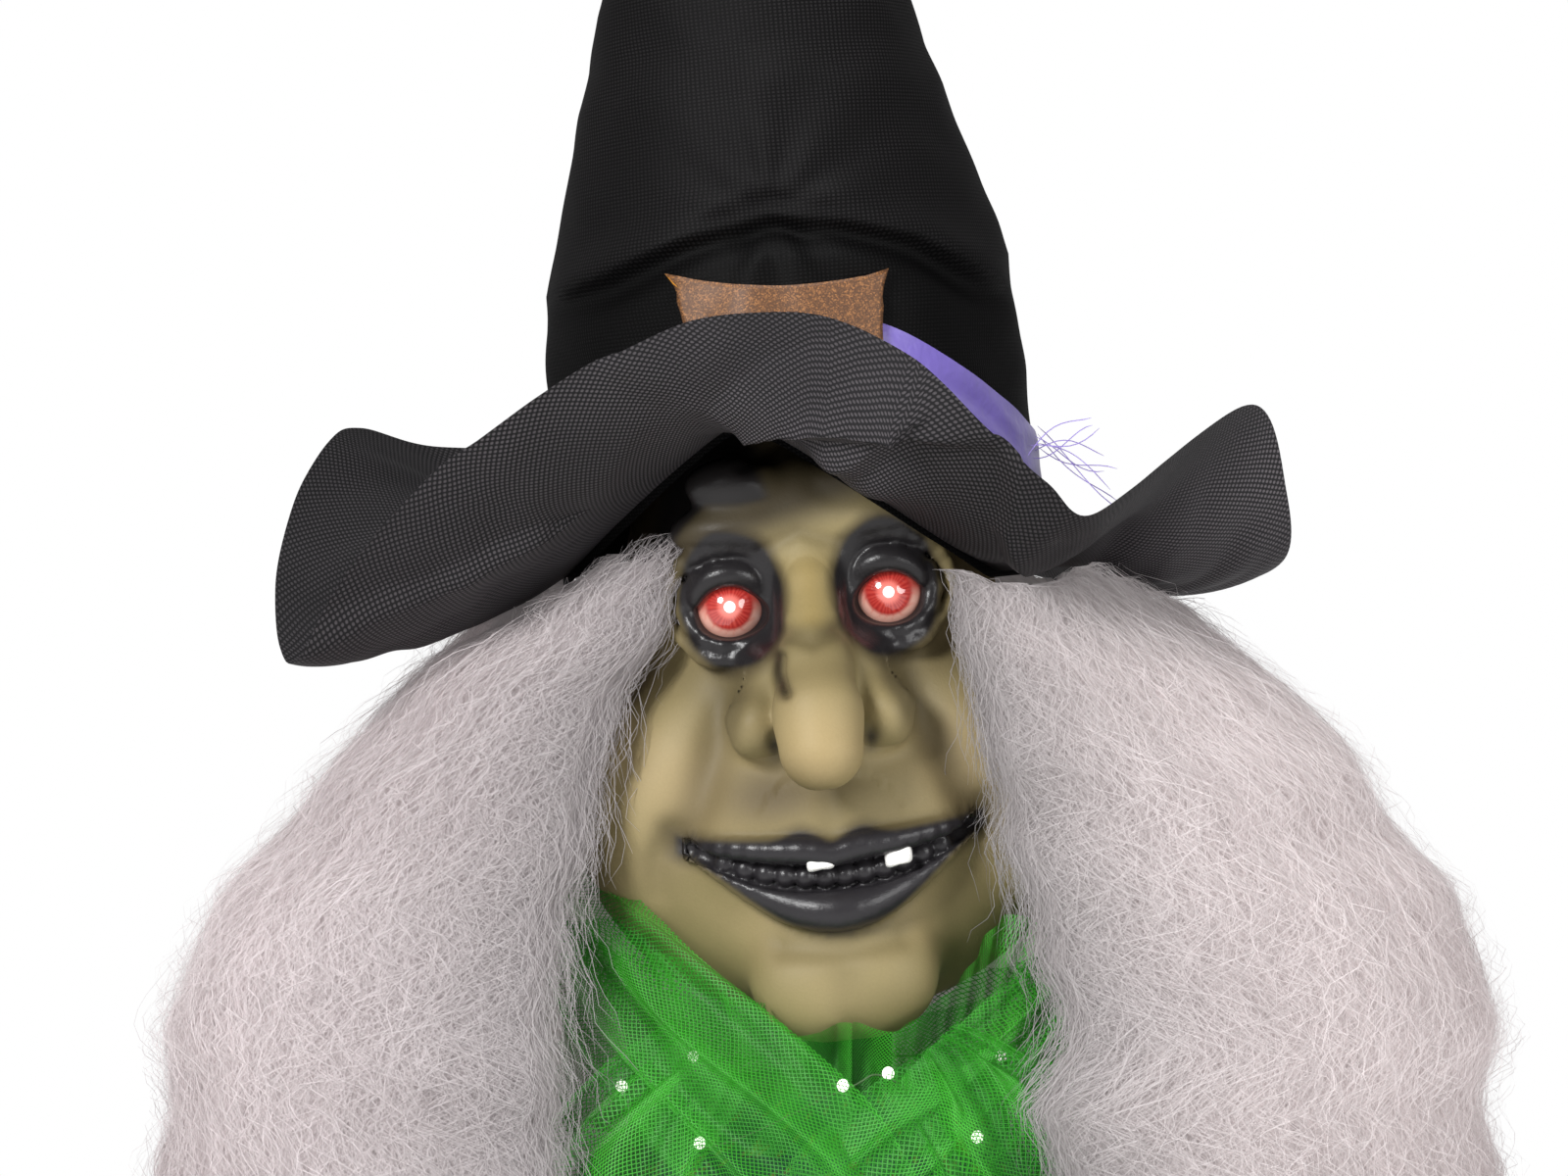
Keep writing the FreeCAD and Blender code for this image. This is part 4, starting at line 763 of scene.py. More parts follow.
def build_eyes():
    """Glowing eyes: a white hot spot, a red iris, and a paler, veined outer part."""
    shader = Shader("lit_eye", rough=0.12, Emission_Strength=0.2, Coat_Weight=1.0)
    shader.colour(shader.tint())
    shader.link(shader.tint(), shader.surface.inputs["Emission Color"])
    for side in SIDES:
        centre = np.array((SIGN[side] * EYE_X, EYE_Y, EYE_Z))
        grid = ball_grid(centre, (EYE_R, EYE_R, EYE_R), 56)
        offset = (grid - centre) / EYE_R
        away = np.degrees(np.arccos(np.clip(-offset[..., 1], -1, 1)))
        angle = np.arctan2(offset[..., 2], offset[..., 0])
        tint = np.broadcast_to(linear(214, 162, 146), grid.shape).copy()
        tint = mix(tint, linear(166, 50, 42), 0.9 * smooth_step(-0.3, 0.2, offset[..., 2]))
        tint = mix(tint, linear(120, 50, 45), smooth_step(52, 68, away))
        veins = smooth_step(0.55, 1.0, np.sin(17 * angle + 2.5 * np.sin(0.12 * away + 3 * angle)))
        tint = mix(tint, linear(200, 80, 70), 0.4 * veins * smooth_step(60, 36, away))
        iris = smooth_step(41, 35, away)
        tint = mix(tint, linear(150, 34, 32), iris)
        rays = 0.5 + 0.5 * np.sin(31 * angle + 1.5 * np.sin(7 * angle))
        tint = mix(tint, linear(205, 78, 66), 0.5 * rays * iris)
        tint = mix(tint, linear(150, 26, 26), 0.5 * hump(away, 38, 3.5))
        tint = mix(tint, linear(236, 128, 116), 0.8 * smooth_step(24, 12, away))
        tint = mix(tint, np.array([2.2, 2.0, 2.0]), smooth_step(10, 7, away))
        grid_mesh(f"lit_eye_{side}", leaned(grid), shader.material, "head", ring=True,
                                tint=tint)
    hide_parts("eyes")


# Each tooth's name, place across and up, half width, half height and tilt
TEETH = [("tooth_a", -5.5, 81.5, 6.2, 4.2, 0.08), ("tooth_b", 27.3, 80, 5.9, 3.8, 0.16)]
TOOTH_DEPTH, TOOTH_FORWARD = 4.0, 3.2


def signed_power(value, power):
    return np.sign(value) * np.abs(value) ** power


def build_teeth():
    """Two worn teeth, set on the upper gum."""
    enamel = Shader("enamel", linear(232, 230, 226), 0.35)
    enamel.bump(enamel.noise(500.0, 3.0), 0.6)
    count = 24
    along = np.linspace(0, math.pi, count)[:, None]
    around = np.linspace(0, 2 * math.pi, 2 * count, endpoint=False)[None, :]
    for name, x, z, half_w, half_h, tilt in TEETH:
        px = signed_power(np.sin(along), 0.45) * signed_power(np.cos(around), 0.45) * half_w
        pz = signed_power(np.sin(along), 0.45) * signed_power(np.sin(around), 0.5) * half_h
        py = -signed_power(np.cos(along), 0.5) * TOOTH_DEPTH + 0 * around
        pz = pz + 0.5 * wobble(px, py, 3.0, x) + tilt * px
        front = face_front(x, z)[0]
        grid = np.stack([x + px, front - TOOTH_FORWARD + py, z + pz], -1)
        tooth = grid_mesh(name, leaned(grid), enamel.material, "head", ring=True)
        if name == "tooth_a":
            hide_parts("teeth")


# ---------------------------------------------------------------- hat

ROOT_PEAK_Z, ROOT_PEAK_X, ROOT_FALL, ROOT_ROUNDING = 266.0, -22.0, 0.78, 10.0
ROOT_LOWEST_Z, ROOT_BACK_Z = 196.0, 214.0
BAND_MIDDLE_Z, BAND_RISE_FRONT, BAND_RISE_BACK, BAND_WIDTH = 243.0, 58.0, 14.0, 23.0
BUCKLE_Z, BUCKLE_HALF = (264.0, 330.0), 46.0
# Height, half width, half depth, and shift to the left and back
CROWN = [
    (190, 107, 117, 0, 1), (256, 105, 115, 0, 2), (285, 104, 112, 0, 2), (318, 102, 108, 0, 3),
    (334, 102, 107, 0, 4), (365, 93.5, 98, 0, 6), (397, 85, 90, 0, 8), (412, 81, 86, 0, 9),
    (430, 74.5, 79, 0, 10), (455, 69, 73, 0, 11), (500, 55, 59, 0, 14), (545, 41, 43, 6, 19),
    (570, 33, 35, 12, 24), (600, 23, 24, 26, 33), (622, 15, 15, 42, 42), (641, 4, 4, 60, 51),
]
# Where the crown folds over itself in front: across and up
FOLD_LINE = [(-102, 332), (-73, 338), (-40, 348), (-1, 356), (30, 350), (60, 341), (97, 318)]
# The brim's outer edge, round from the front by the figure's left: across, back and up
BRIM_EDGE = [
    (12, -207, 304), (33, -204, 296), (53, -198, 283), (75, -188, 259), (101, -170, 231), (117, -150, 215),
    (154, -120, 235), (198, -70, 256), (212, -20, 219), (213, 25, 189), (188, 70, 180), (160, 115, 190),
    (118, 160, 214), (62, 194, 232), (0, 205, 236), (-62, 196, 250), (-122, 178, 272), (-170, 148, 279),
    (-198, 114, 289), (-210, 80, 283), (-224, 35, 257), (-231, -20, 218), (-223, -70, 187),
    (-187, -125, 224), (-150, -160, 257), (-127, -176, 269), (-103, -188, 282), (-72, -200, 297),
    (-39, -206, 307), (-11, -208, 307),
]
# Sharp folds pressed into the brim: a line of places (round the brim, out from its root), then the fold's
# width to the line's left, its width to the right, and its height
BRIM_CREASES = [
    ([(-24, 33), (12, 60), (46, 80)], 34.0, 6.0, 8.0),
    ([(46, 80), (34, 60), (22, 44)], 8.0, 24.0, 6.0),
    ([(-60, 104), (-46, 66), (-24, 33)], 26.0, 12.0, 3.0),
    ([(46, 80), (62, 92), (76, 106)], 22.0, 8.0, 4.0),
    ([(92, 104), (104, 70), (140, 44)], 26.0, 9.0, 5.0),
    ([(-150, 50), (-190, 76), (-226, 108)], 26.0, 10.0, 5.0),
]
# Painted light and shade on the brim: how much its colour is raised or lowered by the angle round it from the
# front, as its facets face towards or away from the light
BRIM_PAINTED_LIGHT = [
    (-180, 0.9), (-120, 0.5), (-85, 0.5), (-60, 0.8), (-30, 0.9), (-8, 1.35), (12, 1.3), (24, 0.7),
    (40, 0.5), (62, 0.6), (80, 1.6), (110, 2.0), (150, 1.0), (180, 0.9),
]
# The brim's lengths round and out, as its creases and its map are drawn
BRIM_ROUND, BRIM_OUT = 190.0, 110.0
BRIM_ROOT = (107.0, 118.0)
BRIM_DIP = 26.0
BRIM_TUCK = 6.0


def root_height(x, y):
    """How high the crown's foot is: a saddle with its peak over the brow."""
    away = np.hypot(x - ROOT_PEAK_X, ROOT_ROUNDING) - ROOT_ROUNDING
    front = np.maximum(ROOT_PEAK_Z - ROOT_FALL * away, ROOT_LOWEST_Z)
    return front + (ROOT_BACK_Z - front) * smooth_step(-20.0, 60.0, y)


def crown_point(angle, z, out=0.0):
    """A place on the crown's cloth: the angle runs from the front to the figure's left."""
    half_w, half_d, shift_x, shift_y = table(CROWN, z)
    x = np.sin(angle) * (half_w + out)
    y = -np.cos(angle) * (half_d + out)
    front = smooth_step(0.15, 0.75, np.cos(angle))
    above = z - table(FOLD_LINE, x)[0]
    pinch = hump(x, -1, 26)
    sag = 7.0 * hump(above, 0, np.where(above > 0, 13.0, 3.5))
    tuck = 6.0 * hump(above, -9, 6.5) * (0.7 + 0.9 * pinch)
    dent = 9.0 * pinch * hump(above, 3, 6.0)
    folds = front * (sag - tuck - dent)
    rays = np.sin(np.arctan2(z - 356, x + 1) * 9.0) * np.exp(-np.hypot(x + 1, z - 350) / 55)
    folds = folds + front * 2.2 * rays * smooth_step(6, 26, np.hypot(x + 1, z - 356))
    loose = smooth_step(250, 300, z) * smooth_step(640, 560, z)
    folds = folds + loose * 1.5 * wobble(100 * angle, z, 46, 4) + 0.7 * wobble(90 * angle, 1.4 * z, 17, 6)
    folds = folds + 1.6 * loose * hump(z, 300, 26) * np.sin(9 * angle + 0.05 * z)
    x = x + folds * np.sin(angle) + shift_x
    y = y - folds * np.cos(angle) + shift_y
    return np.stack([x, y, z], -1)


def build_crown():
    angle, share = round_grid(220, 190, 0.0, 1.0)
    foot = root_height(BRIM_ROOT[0] * np.sin(angle), -BRIM_ROOT[1] * np.cos(angle)) - 3.0
    z = foot + (CROWN[-1][0] - foot) * share
    grid = crown_point(angle, z)
    along = np.hypot(1, 0.2) * z
    uv = np.stack([100 * angle * np.clip((700 - z) / 440, 0.15, 1.2), along], -1)
    cloth = hat_material("crown_cloth", 1.65, 0.42, 0.0, linear(12, 11, 12), linear(48, 46, 47), 0.08)
    above = z - table(FOLD_LINE, grid[..., 0])[0]
    # Painted shade on the crown under its front fold, carried in the mesh's tint.
    shade_under_fold = smooth_step(4, -8, above) * smooth_step(0.0, 0.5, np.cos(angle))
    tint = (0.6 - 0.4 * shade_under_fold)[..., None] * np.ones(3)
    crown = grid_mesh("hat_crown_cloth", leaned(grid), cloth, "head", uv=uv, tint=tint)
    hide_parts("hat_crown")


def fold_tent(x, y, line, left_width, right_width):
    """1 on a line, falling straight to 0 over the width of each of its sides: a sharp fold's section."""
    away, on_left = line_distance(x, y, line)
    return np.maximum(1.0 - away / np.where(on_left, left_width, right_width), 0.0)


def brim_grid(columns, rows):
    """Points over the brim from its root to its edge, and the angle of each column."""
    edge = curve_through(BRIM_EDGE, columns, closed=True)
    angle = np.arctan2(edge[:, 0], -edge[:, 1])
    root = oval(angle, BRIM_ROOT[0] - BRIM_TUCK, BRIM_ROOT[1] - BRIM_TUCK, 0.0)
    root[:, 2] = root_height(root[:, 0], root[:, 1])
    middle = (root + edge) / 2
    middle[:, 2] -= BRIM_DIP
    t = np.linspace(0, 1, rows)[:, None, None]
    grid = root * (1 - t) ** 2 + middle * 2 * t * (1 - t) + edge * t**2
    t = t[..., 0]
    a = angle[None, :]
    reach = 110 + 100 * t
    ripple = wobble(reach * a, 60 * t, 30, 8) * 2.6 + wobble(reach * a, 90 * t, 13, 9) * 0.9
    fade = np.sin(math.pi * np.clip(t, 0, 1)) ** 0.6 + 0.35 * t
    grid[..., 2] += ripple * fade
    sag = hump(BRIM_ROUND * a, 36, 26) * hump(BRIM_OUT * t, 38, 24)
    grid[..., 2] -= 13.0 * sag
    outward = unit(np.cross(np.gradient(grid, axis=0), np.gradient(grid, axis=1)))
    outward = np.where(outward[..., 2:3] > 0, -outward, outward)
    for line, left_width, right_width, height in BRIM_CREASES:
        tent = fold_tent(BRIM_ROUND * a + 0 * t, BRIM_OUT * t + 0 * a, line, left_width, right_width)
        grid = grid + outward * (height * tent)[..., None]
    return grid, angle


def build_brim():
    columns, rows = 420, 70
    grid, angle = brim_grid(columns, rows)
    steps = np.linalg.norm(np.diff(grid, axis=0, prepend=grid[:1]), axis=-1)
    height = np.cumsum(steps, axis=0)
    uv = np.stack([BRIM_ROUND * np.broadcast_to(angle[None, :], height.shape), height], -1)
    cloth = hat_material("brim_cloth", 2.1, 0.44, math.radians(45), linear(29, 28, 30), linear(92, 88, 91),
                         0.14)
    seam = np.argmax(np.abs(np.diff(angle)))
    order = np.roll(np.arange(columns), -(seam + 1))
    # Painted light and shade, carried in the mesh's tint.
    shine = table(BRIM_PAINTED_LIGHT, np.degrees(angle))[0]
    tint = shine[None, :, None] * np.ones((rows, 1, 3))
    grid, uv, tint = grid[:, order], uv[:, order], tint[:, order]
    tint = np.concatenate([tint, tint[:, :1]], 1)
    join = uv[:, :1] + np.array([2 * math.pi * BRIM_ROUND * np.sign(uv[0, -1, 0] - uv[0, 0, 0]), 0.0])
    grid = np.concatenate([grid, grid[:, :1]], 1)
    uv = np.concatenate([uv, join], 1)
    brim = grid_mesh("hat_brim_cloth", leaned(grid), cloth, "head", uv=uv, tint=tint)
    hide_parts("hat_brim")


def band_point(angle, across, out):
    """A place on the ribbon: across runs from -1 at its lower edge to 1 at its upper."""
    towards_end = np.cos(angle) ** 2
    rise = np.where(np.cos(angle) > 0, BAND_RISE_FRONT, BAND_RISE_BACK)
    z = BAND_MIDDLE_Z + rise * towards_end + across * BAND_WIDTH / 2
    z = z + 1.2 * wobble(100 * angle, 12 * across, 21, 11)
    ripple = 0.7 * wobble(95 * angle, 30 * across, 15, 12) * (1 - 0.3 * across)
    return crown_point(angle, z, out + 1.6 + ripple)


def build_band():
    angle, across = round_grid(300, 12, -1.0, 1.0)
    grid = band_point(angle, across, 0.0)
    satin = Shader("satin_ribbon", linear(100, 80, 172), 0.42, Sheen_Weight=0.5, Specular_IOR_Level=0.6)
    satin.bump(satin.noise(160.0, 2.0), 0.5)
    band = grid_mesh("ribbon_band", leaned(grid), satin.material, "head")
    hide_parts("hat_band")
    threads = plain("frayed_thread", linear(150, 130, 210), 0.5)
    strands = []
    for k in range(9):
        start = band_point(np.array(1.18 + 0.035 * k), np.array(-0.6 + 0.2 * k), 1.0)
        sweep = np.array((26 + 9 * chance.random(), -6 * chance.random(), 16 - 7 * k + 4 * chance.random()))
        s = np.linspace(0, 1, 10)[:, None]
        curl = np.stack([0 * s[:, 0], 3 * np.sin(5 * s[:, 0] + k), 4 * np.sin(4 * s[:, 0] + 2 * k)], -1)
        strands.append(start + sweep * s + curl)
    points, faces = thread_ribbons(leaned(np.array(strands)), 0.45)
    fray = make_mesh("ribbon_fray", points, faces, threads, "head")


def build_buckle():
    """A cut-out frame of glitter foam with hollowed sides and flared corners."""
    low, high = BUCKLE_Z
    middle, half_h = (low + high) / 2, (high - low) / 2
    corners = [(-1, -1), (1, -1), (1, 1), (-1, 1)]
    outer, inner = [], []
    for k, (cx, cz) in enumerate(corners):
        nx, nz = corners[(k + 1) % 4]
        for s in np.linspace(0, 1, 16, endpoint=False):
            hollow = 7.0 * math.sin(math.pi * s) ** 0.8
            u, v = cx + (nx - cx) * s, cz + (nz - cz) * s
            inward = (-hollow * u * (abs(nx - cx) < 1), -hollow * v * (abs(nz - cz) < 1))
            outer.append((u * (BUCKLE_HALF + 2) + inward[0], v * half_h + inward[1]))
            inner.append((u * 24.0, v * (half_h - 22.0) - 2.0))
    outer, inner = np.array(outer), np.array(inner)
    t = np.linspace(0, 1, 10)[:, None, None]
    flat = outer * (1 - t) + inner * t
    tilt = flat[..., 0] * -0.07
    z = middle + flat[..., 1] + tilt
    angle = flat[..., 0] / 108.0
    face = crown_point(angle, z, 4.2)
    fold_free = oval(angle, 110, 114, z)
    fold_free[..., 1] += 0.12 * (z - middle) + 2
    face = np.where(fold_free[..., 1:2] < face[..., 1:2], fold_free, face)
    shader = Shader("glitter_foam", linear(150, 98, 56), 0.55)
    place = shader.add("ShaderNodeTexCoord").outputs["Object"]
    grain = shader.add("ShaderNodeTexVoronoi", Vector=place, Scale=1700.0).outputs["Color"]
    flakes = shader.math("POWER", shader.add("ShaderNodeSeparateColor", i0=grain).outputs[0], 3.0)
    shader.colour(shader.blend(flakes, linear(84, 52, 26), linear(160, 108, 60)))
    shader.bump(flakes, 0.35)
    buckle = grid_mesh("buckle_frame", leaned(face), shader.material, "head", ring=True)
    thicken(buckle, 1.8)
    buckle.data.materials.append(plain("buckle_cut_edge", linear(236, 158, 34), 0.6))
    for polygon in buckle.data.polygons:
        faces_sideways = abs(polygon.normal.y) < 0.45
        if faces_sideways:
            polygon.material_index = 1
    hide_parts("hat_buckle")


# ---------------------------------------------------------------- hair


def thread_ribbons(strands, width, facing=None):
    """Flat ribbons along strands, a count x points x 3 array, tapered at their tips."""
    count, steps = strands.shape[:2]
    along = np.gradient(strands, axis=1)
    if facing is None:
        facing = np.broadcast_to(np.array((0.0, -1.0, 0.0)), strands.shape)
    side = unit(np.cross(along, facing))
    taper = np.minimum(1.0, 0.25 + 2.2 * np.sin(np.linspace(0.05, math.pi - 0.05, steps)))[None, :, None]
    width = np.reshape(np.broadcast_to(width, (count,)), (count, 1, 1)) * taper / 2
    pairs = np.stack([strands - side * width, strands + side * width], 2)
    points = pairs.reshape(-1, 3)
    first = np.arange(count)[:, None] * steps * 2 + np.arange(steps - 1)[None, :] * 2
    faces = np.stack([first, first + 1, first + 3, first + 2], -1).reshape(-1, 4)
    return points, faces


# Height, half width, half depth of the hair, and the angle where its front edge hangs
HAIR_OUTLINE = {
    "right": [
        (1105, 122, 112, 37), (1085, 138, 116, 36.5), (1055, 162, 122, 36.5), (1030, 190, 128, 36),
        (995, 222, 134, 34.5), (970, 240, 138, 33.7), (943, 264, 143, 31.6), (911, 285, 149, 30),
        (882, 296, 154, 28.4), (823, 296, 160, 29), (740, 288, 158, 31), (690, 272, 152, 32),
        (640, 218, 128, 36),
    ],
    "left": [
        (1105, 100, 112, 25.4), (1085, 118, 116, 24), (1057, 152, 122, 21.8), (1033, 182, 128, 20.6),
        (1004, 210, 134, 19.8), (970, 232, 138, 19.6), (945, 256, 143, 20.2), (907, 274, 149, 21.8),
        (882, 277, 154, 20.6), (857, 271, 158, 18.4), (823, 280, 160, 23), (740, 284, 158, 28),
        (690, 270, 152, 30), (640, 214, 128, 36),
    ],
}
HAIR_TOP_Z = 1100.0
HAIR_OVERHANG = 0.032


def brim_ceiling():
    """The brim's lowest height in each cell round and out from the hat's middle."""
    x, y, z = np.moveaxis(leaned(brim_grid(720, 40)[0]), -1, 0)
    ceiling = np.full((CEILING_TURNS, CEILING_REACHES), np.inf)
    np.minimum.at(ceiling, ceiling_cell(x, y), z)
    for row in ceiling:
        row[:np.argmax(np.isfinite(row))] = row[np.isfinite(row)][0]
    return ceiling


def ceiling_cell(x, y):
    """Which cell of the brim's ceiling a place is under."""
    turn = np.arctan2(x - HAT_MIDDLE_X, -y) / (2 * math.pi) * CEILING_TURNS
    reach = np.hypot(x - HAT_MIDDLE_X, y) / CEILING_STEP
    return np.floor(turn).astype(int) % CEILING_TURNS, np.minimum(reach.astype(int), CEILING_REACHES - 1)


CEILING_TURNS, CEILING_REACHES, CEILING_STEP, CEILING_GAP = 48, 60, 5.0, 7.0
HAT_MIDDLE_X = -19.0
BRIM_CEILING = brim_ceiling()


def hair_point(side, turn, z, out):
    """A place in the hair: turn runs from 0 at its front edge to 1 at the back."""
    half_w, half_d, edge = table(HAIR_OUTLINE[side], z)
    edge = edge + np.degrees(4.0 * wobble(0 * z, z, 17, SIGN[side]) / half_w)
    angle = np.radians(edge + (180.0 - edge) * turn)
    lumps = 5.5 * wobble(160 * turn, z, 52, 13 if side == "left" else 17)
    lumps = lumps + 3.0 * wobble(200 * turn, z, 24, 19)
    tuck = 16.0 * np.exp(-turn / 0.035)
    out = out + lumps - tuck
    x = SIGN[side] * np.sin(angle) * (half_w + out)
    y = -np.cos(angle) * (half_d + out)
    return np.stack([x, y, np.minimum(z + 0 * turn, BRIM_CEILING[ceiling_cell(x, y)] - CEILING_GAP)], -1)


def hair_outward(side, turn, z):
    half_w, half_d, edge = table(HAIR_OUTLINE[side], z)
    angle = np.radians(edge + (180.0 - edge) * turn)
    normal = np.stack([SIGN[side] * np.sin(angle) * half_d, -np.cos(angle) * half_w, 0.25 * half_w], -1)
    return unit(normal)


def hair_tint(side, turn, z, spread):
    """Pinkish white, with darker silver grey near the face and at the roots under the brim as painted shade."""
    pale = linear(248, 241, 241) if side == "left" else linear(240, 232, 233)
    tint = mix(pale * np.ones(turn.shape + (1,)), linear(192, 184, 184), np.clip(spread, 0, 1))
    shade_near_face_and_brim = np.exp(-turn / (0.10 if side == "right" else 0.06))
    shade_near_face_and_brim = np.maximum(shade_near_face_and_brim, smooth_step(1030, 1085, z) * 0.8)
    return mix(tint, linear(158, 154, 155), 0.6 * shade_near_face_and_brim)


def build_hair_core(side):
    """The dense inside of one half of the hair, with its front edge turned in towards the neck."""
    columns, rows = 150, 130
    turn = HAIR_OVERHANG + (1 - HAIR_OVERHANG) * np.linspace(0, 1, columns)[None, :] ** 1.3
    z = np.linspace(HAIR_TOP_Z - 14, HAIR_END_Z + 14, rows)[:, None]
    outer = hair_point(side, turn + 0 * z, z + 0 * turn, -5.0)
    edge = outer[:, :1]
    back = np.linspace(1, 0, 12, endpoint=False)[None, :, None]
    deep = edge * np.array((1.0, 0.0, 1.0)) + np.array((SIGN[side] * 10.0, -22.0, 0.0))
    rounding = np.sin(back * math.pi) * np.array((-SIGN[side] * 3.0, 0.0, 0.0))
    inner = edge + (deep - edge) * back + rounding
    grid = np.concatenate([inner, outer], 1)
    turn_all = np.concatenate([np.zeros((1, 12)), turn], 1) + 0 * z
    z_all = z + 0 * turn_all
    streaks = 0.5 + 0.5 * np.sin(260 * turn_all + 4 * wobble(200 * turn_all, z_all, 30, 2))
    tint = hair_tint(side, turn_all, z_all, 0.25 + 0.5 * streaks)
    # The inner wall behind the front edge is darkened: painted shade.
    tint[:, :12] = mix(tint[:, :12], linear(96, 92, 92), 0.8)
    core = grid_mesh(f"hair_core_{side}", grid, HAIR_INSIDE, tint=tint)
    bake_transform(core)
    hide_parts(f"hair_{side}")


def build_hair_strands(name, side, count, turn_range, length_range, lift, width, frizz):
    """Many short lengths of curled fibre lying on the hair's outside."""
    steps = 14
    s = np.linspace(0, 1, steps)[None, :]
    turn = turn_range[0] + (turn_range[1] - turn_range[0]) * chance.random((count, 1)) ** 1.25
    length = length_range[0] + (length_range[1] - length_range[0]) * chance.random((count, 1))
    start = HAIR_TOP_Z - (HAIR_TOP_Z - HAIR_END_Z - 30) * chance.random((count, 1))
    tip = HAIR_END_Z + 26.0 * chance.random((count, 1)) ** 2 - 2
    z = np.clip(start - length * s, tip + 3.0 * s, 1100)
    phase = chance.random((count, 6)) * 2 * math.pi
    lean = chance.normal(0, 0.22, (count, 1))
    coherent = wobble(300 * turn, z, 38, 5)
    kink = np.sin(phase[:, :1] + s * (7 + 9 * chance.random((count, 1))))
    kink = kink + 0.6 * np.sin(phase[:, 1:2] + s * (19 + 14 * chance.random((count, 1))))
    across = 0.012 * coherent + (lean * length * s + frizz * kink) / 420.0
    turn_line = turn + across
    turn_line = np.minimum(np.where(turn_line < 0, 0.3 * turn_line, turn_line), 1.0)
    ripple = np.sin(phase[:, 2:3] + s * (9 + 12 * chance.random((count, 1))))
    out = lift[0] + (lift[1] - lift[0]) * chance.random((count, 1)) ** 1.6
    out = out * np.sin(math.pi * (0.12 + 0.8 * s)) + 0.55 * frizz * ripple
    strands = hair_point(side, turn_line, z, out)
    facing = hair_outward(side, turn_line, z)
    facing = facing + 0.3 * chance.normal(0, 1, (count, 1, 3))
    widths = width * (0.7 + 0.6 * chance.random(count))
    points, faces = thread_ribbons(strands, widths, facing)
    shade = np.repeat(0.1 + 0.75 * chance.random((count, 1)) ** 1.5, steps, 1)
    tint = hair_tint(side, turn_line, z, shade)
    tint = np.repeat(tint.reshape(-1, 3), 2, 0)
    piece = make_mesh(f"hair_{name}_{side}", points, faces, HAIR_OUTSIDE, tint=tint)
    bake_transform(piece)


def build_hair():
    for side in SIDES:
        build_hair_core(side)
        for layer in ("front", "front_over"):
            build_hair_strands(layer, side, 7600, (0.0, 0.5), (40, 110), (-1.0, 9.0), 0.25, 3.2)
        build_hair_strands("back", side, 5000, (0.45, 1.0), (70, 140), (0.0, 9.0), 0.7, 3.0)
        build_hair_strands("edge", side, 3600, (-0.012, 0.045), (40, 110), (-4.0, 6.0), 0.2, 4.0)
        build_hair_strands("loose", side, 2600, (0.0, 1.0), (30, 90), (8.0, 20.0), 0.2, 5.5)


# ---------------------------------------------------------------- collar

NET_LIT_GREEN, NET_SHADED_GREEN = linear(84, 206, 62), linear(46, 140, 38)
LED_GLOW = (1.0, 0.97, 0.9)
NECK_SEAM_Z = 858.0
# The top edge of the standing frill, round from the back by the figure's left: across, back and up
FRILL_EDGE = [
    (0, 84, 905), (70, 70, 905), (118, 25, 918), (112, -30, 930), (72, -66, 935), (60, -74, 928),
    (49, -82, 914), (41, -88, 901), (26, -96, 893), (0, -101, 890), (-14, -101, 889), (-29, -98, 891),
    (-41, -93, 898), (-56, -84, 907), (-87, -62, 923), (-115, -34, 932), (-122, 20, 920), (-72, 70, 908),
]
# Each swag's name, spine (across, back, up), widths along it, folds, their depth, flat size (m) and seed
SWAGS = [
    ("collar_swag_right",
     [(-122, -30, 935), (-98, -72, 905), (-62, -104, 868), (-22, -124, 832), (8, -128, 790)],
     (54, 74, 78, 80, 70), 3.2, 6.0, (0.13, 0.20), 3),
    ("collar_swag_left",
     [(104, -50, 930), (88, -84, 896), (62, -110, 860), (28, -124, 834), (-6, -124, 806)],
     (36, 54, 70, 80, 68), 3.5, 5.5, (0.11, 0.19), 7),
    ("collar_drop_left",
     [(30, -116, 880), (62, -122, 850), (98, -112, 812), (128, -92, 770)],
     (40, 78, 92, 96), 3.4, 5.5, (0.13, 0.18), 11),
    ("collar_drop_right",
     [(-60, -92, 880), (-92, -102, 842), (-118, -98, 800), (-138, -84, 762)],
     (46, 70, 84, 88), 3.0, 5.5, (0.10, 0.155), 15),
    ("collar_back_drop",
     [(120, 30, 880), (96, 100, 845), (0, 128, 830), (-96, 100, 845), (-120, 30, 880)],
     (90, 96, 100, 96, 90), 5.0, 4.5, (0.13, 0.42), 19),
]
LIGHT_PLACES = [
    (-4, -113, 867), (15, -112, 872), (-64, -104, 842), (52, -118, 846), (92, -88, 852),
    (-98, -64, 862), (70, 74, 862), (-70, 74, 862),
]


# Painted light and shade on the net: lit green on the crests of its folds, shaded green in their hollows.
def net_tint(shade, count):
    return mix(NET_SHADED_GREEN * np.ones((count, 3)), NET_LIT_GREEN, shade)


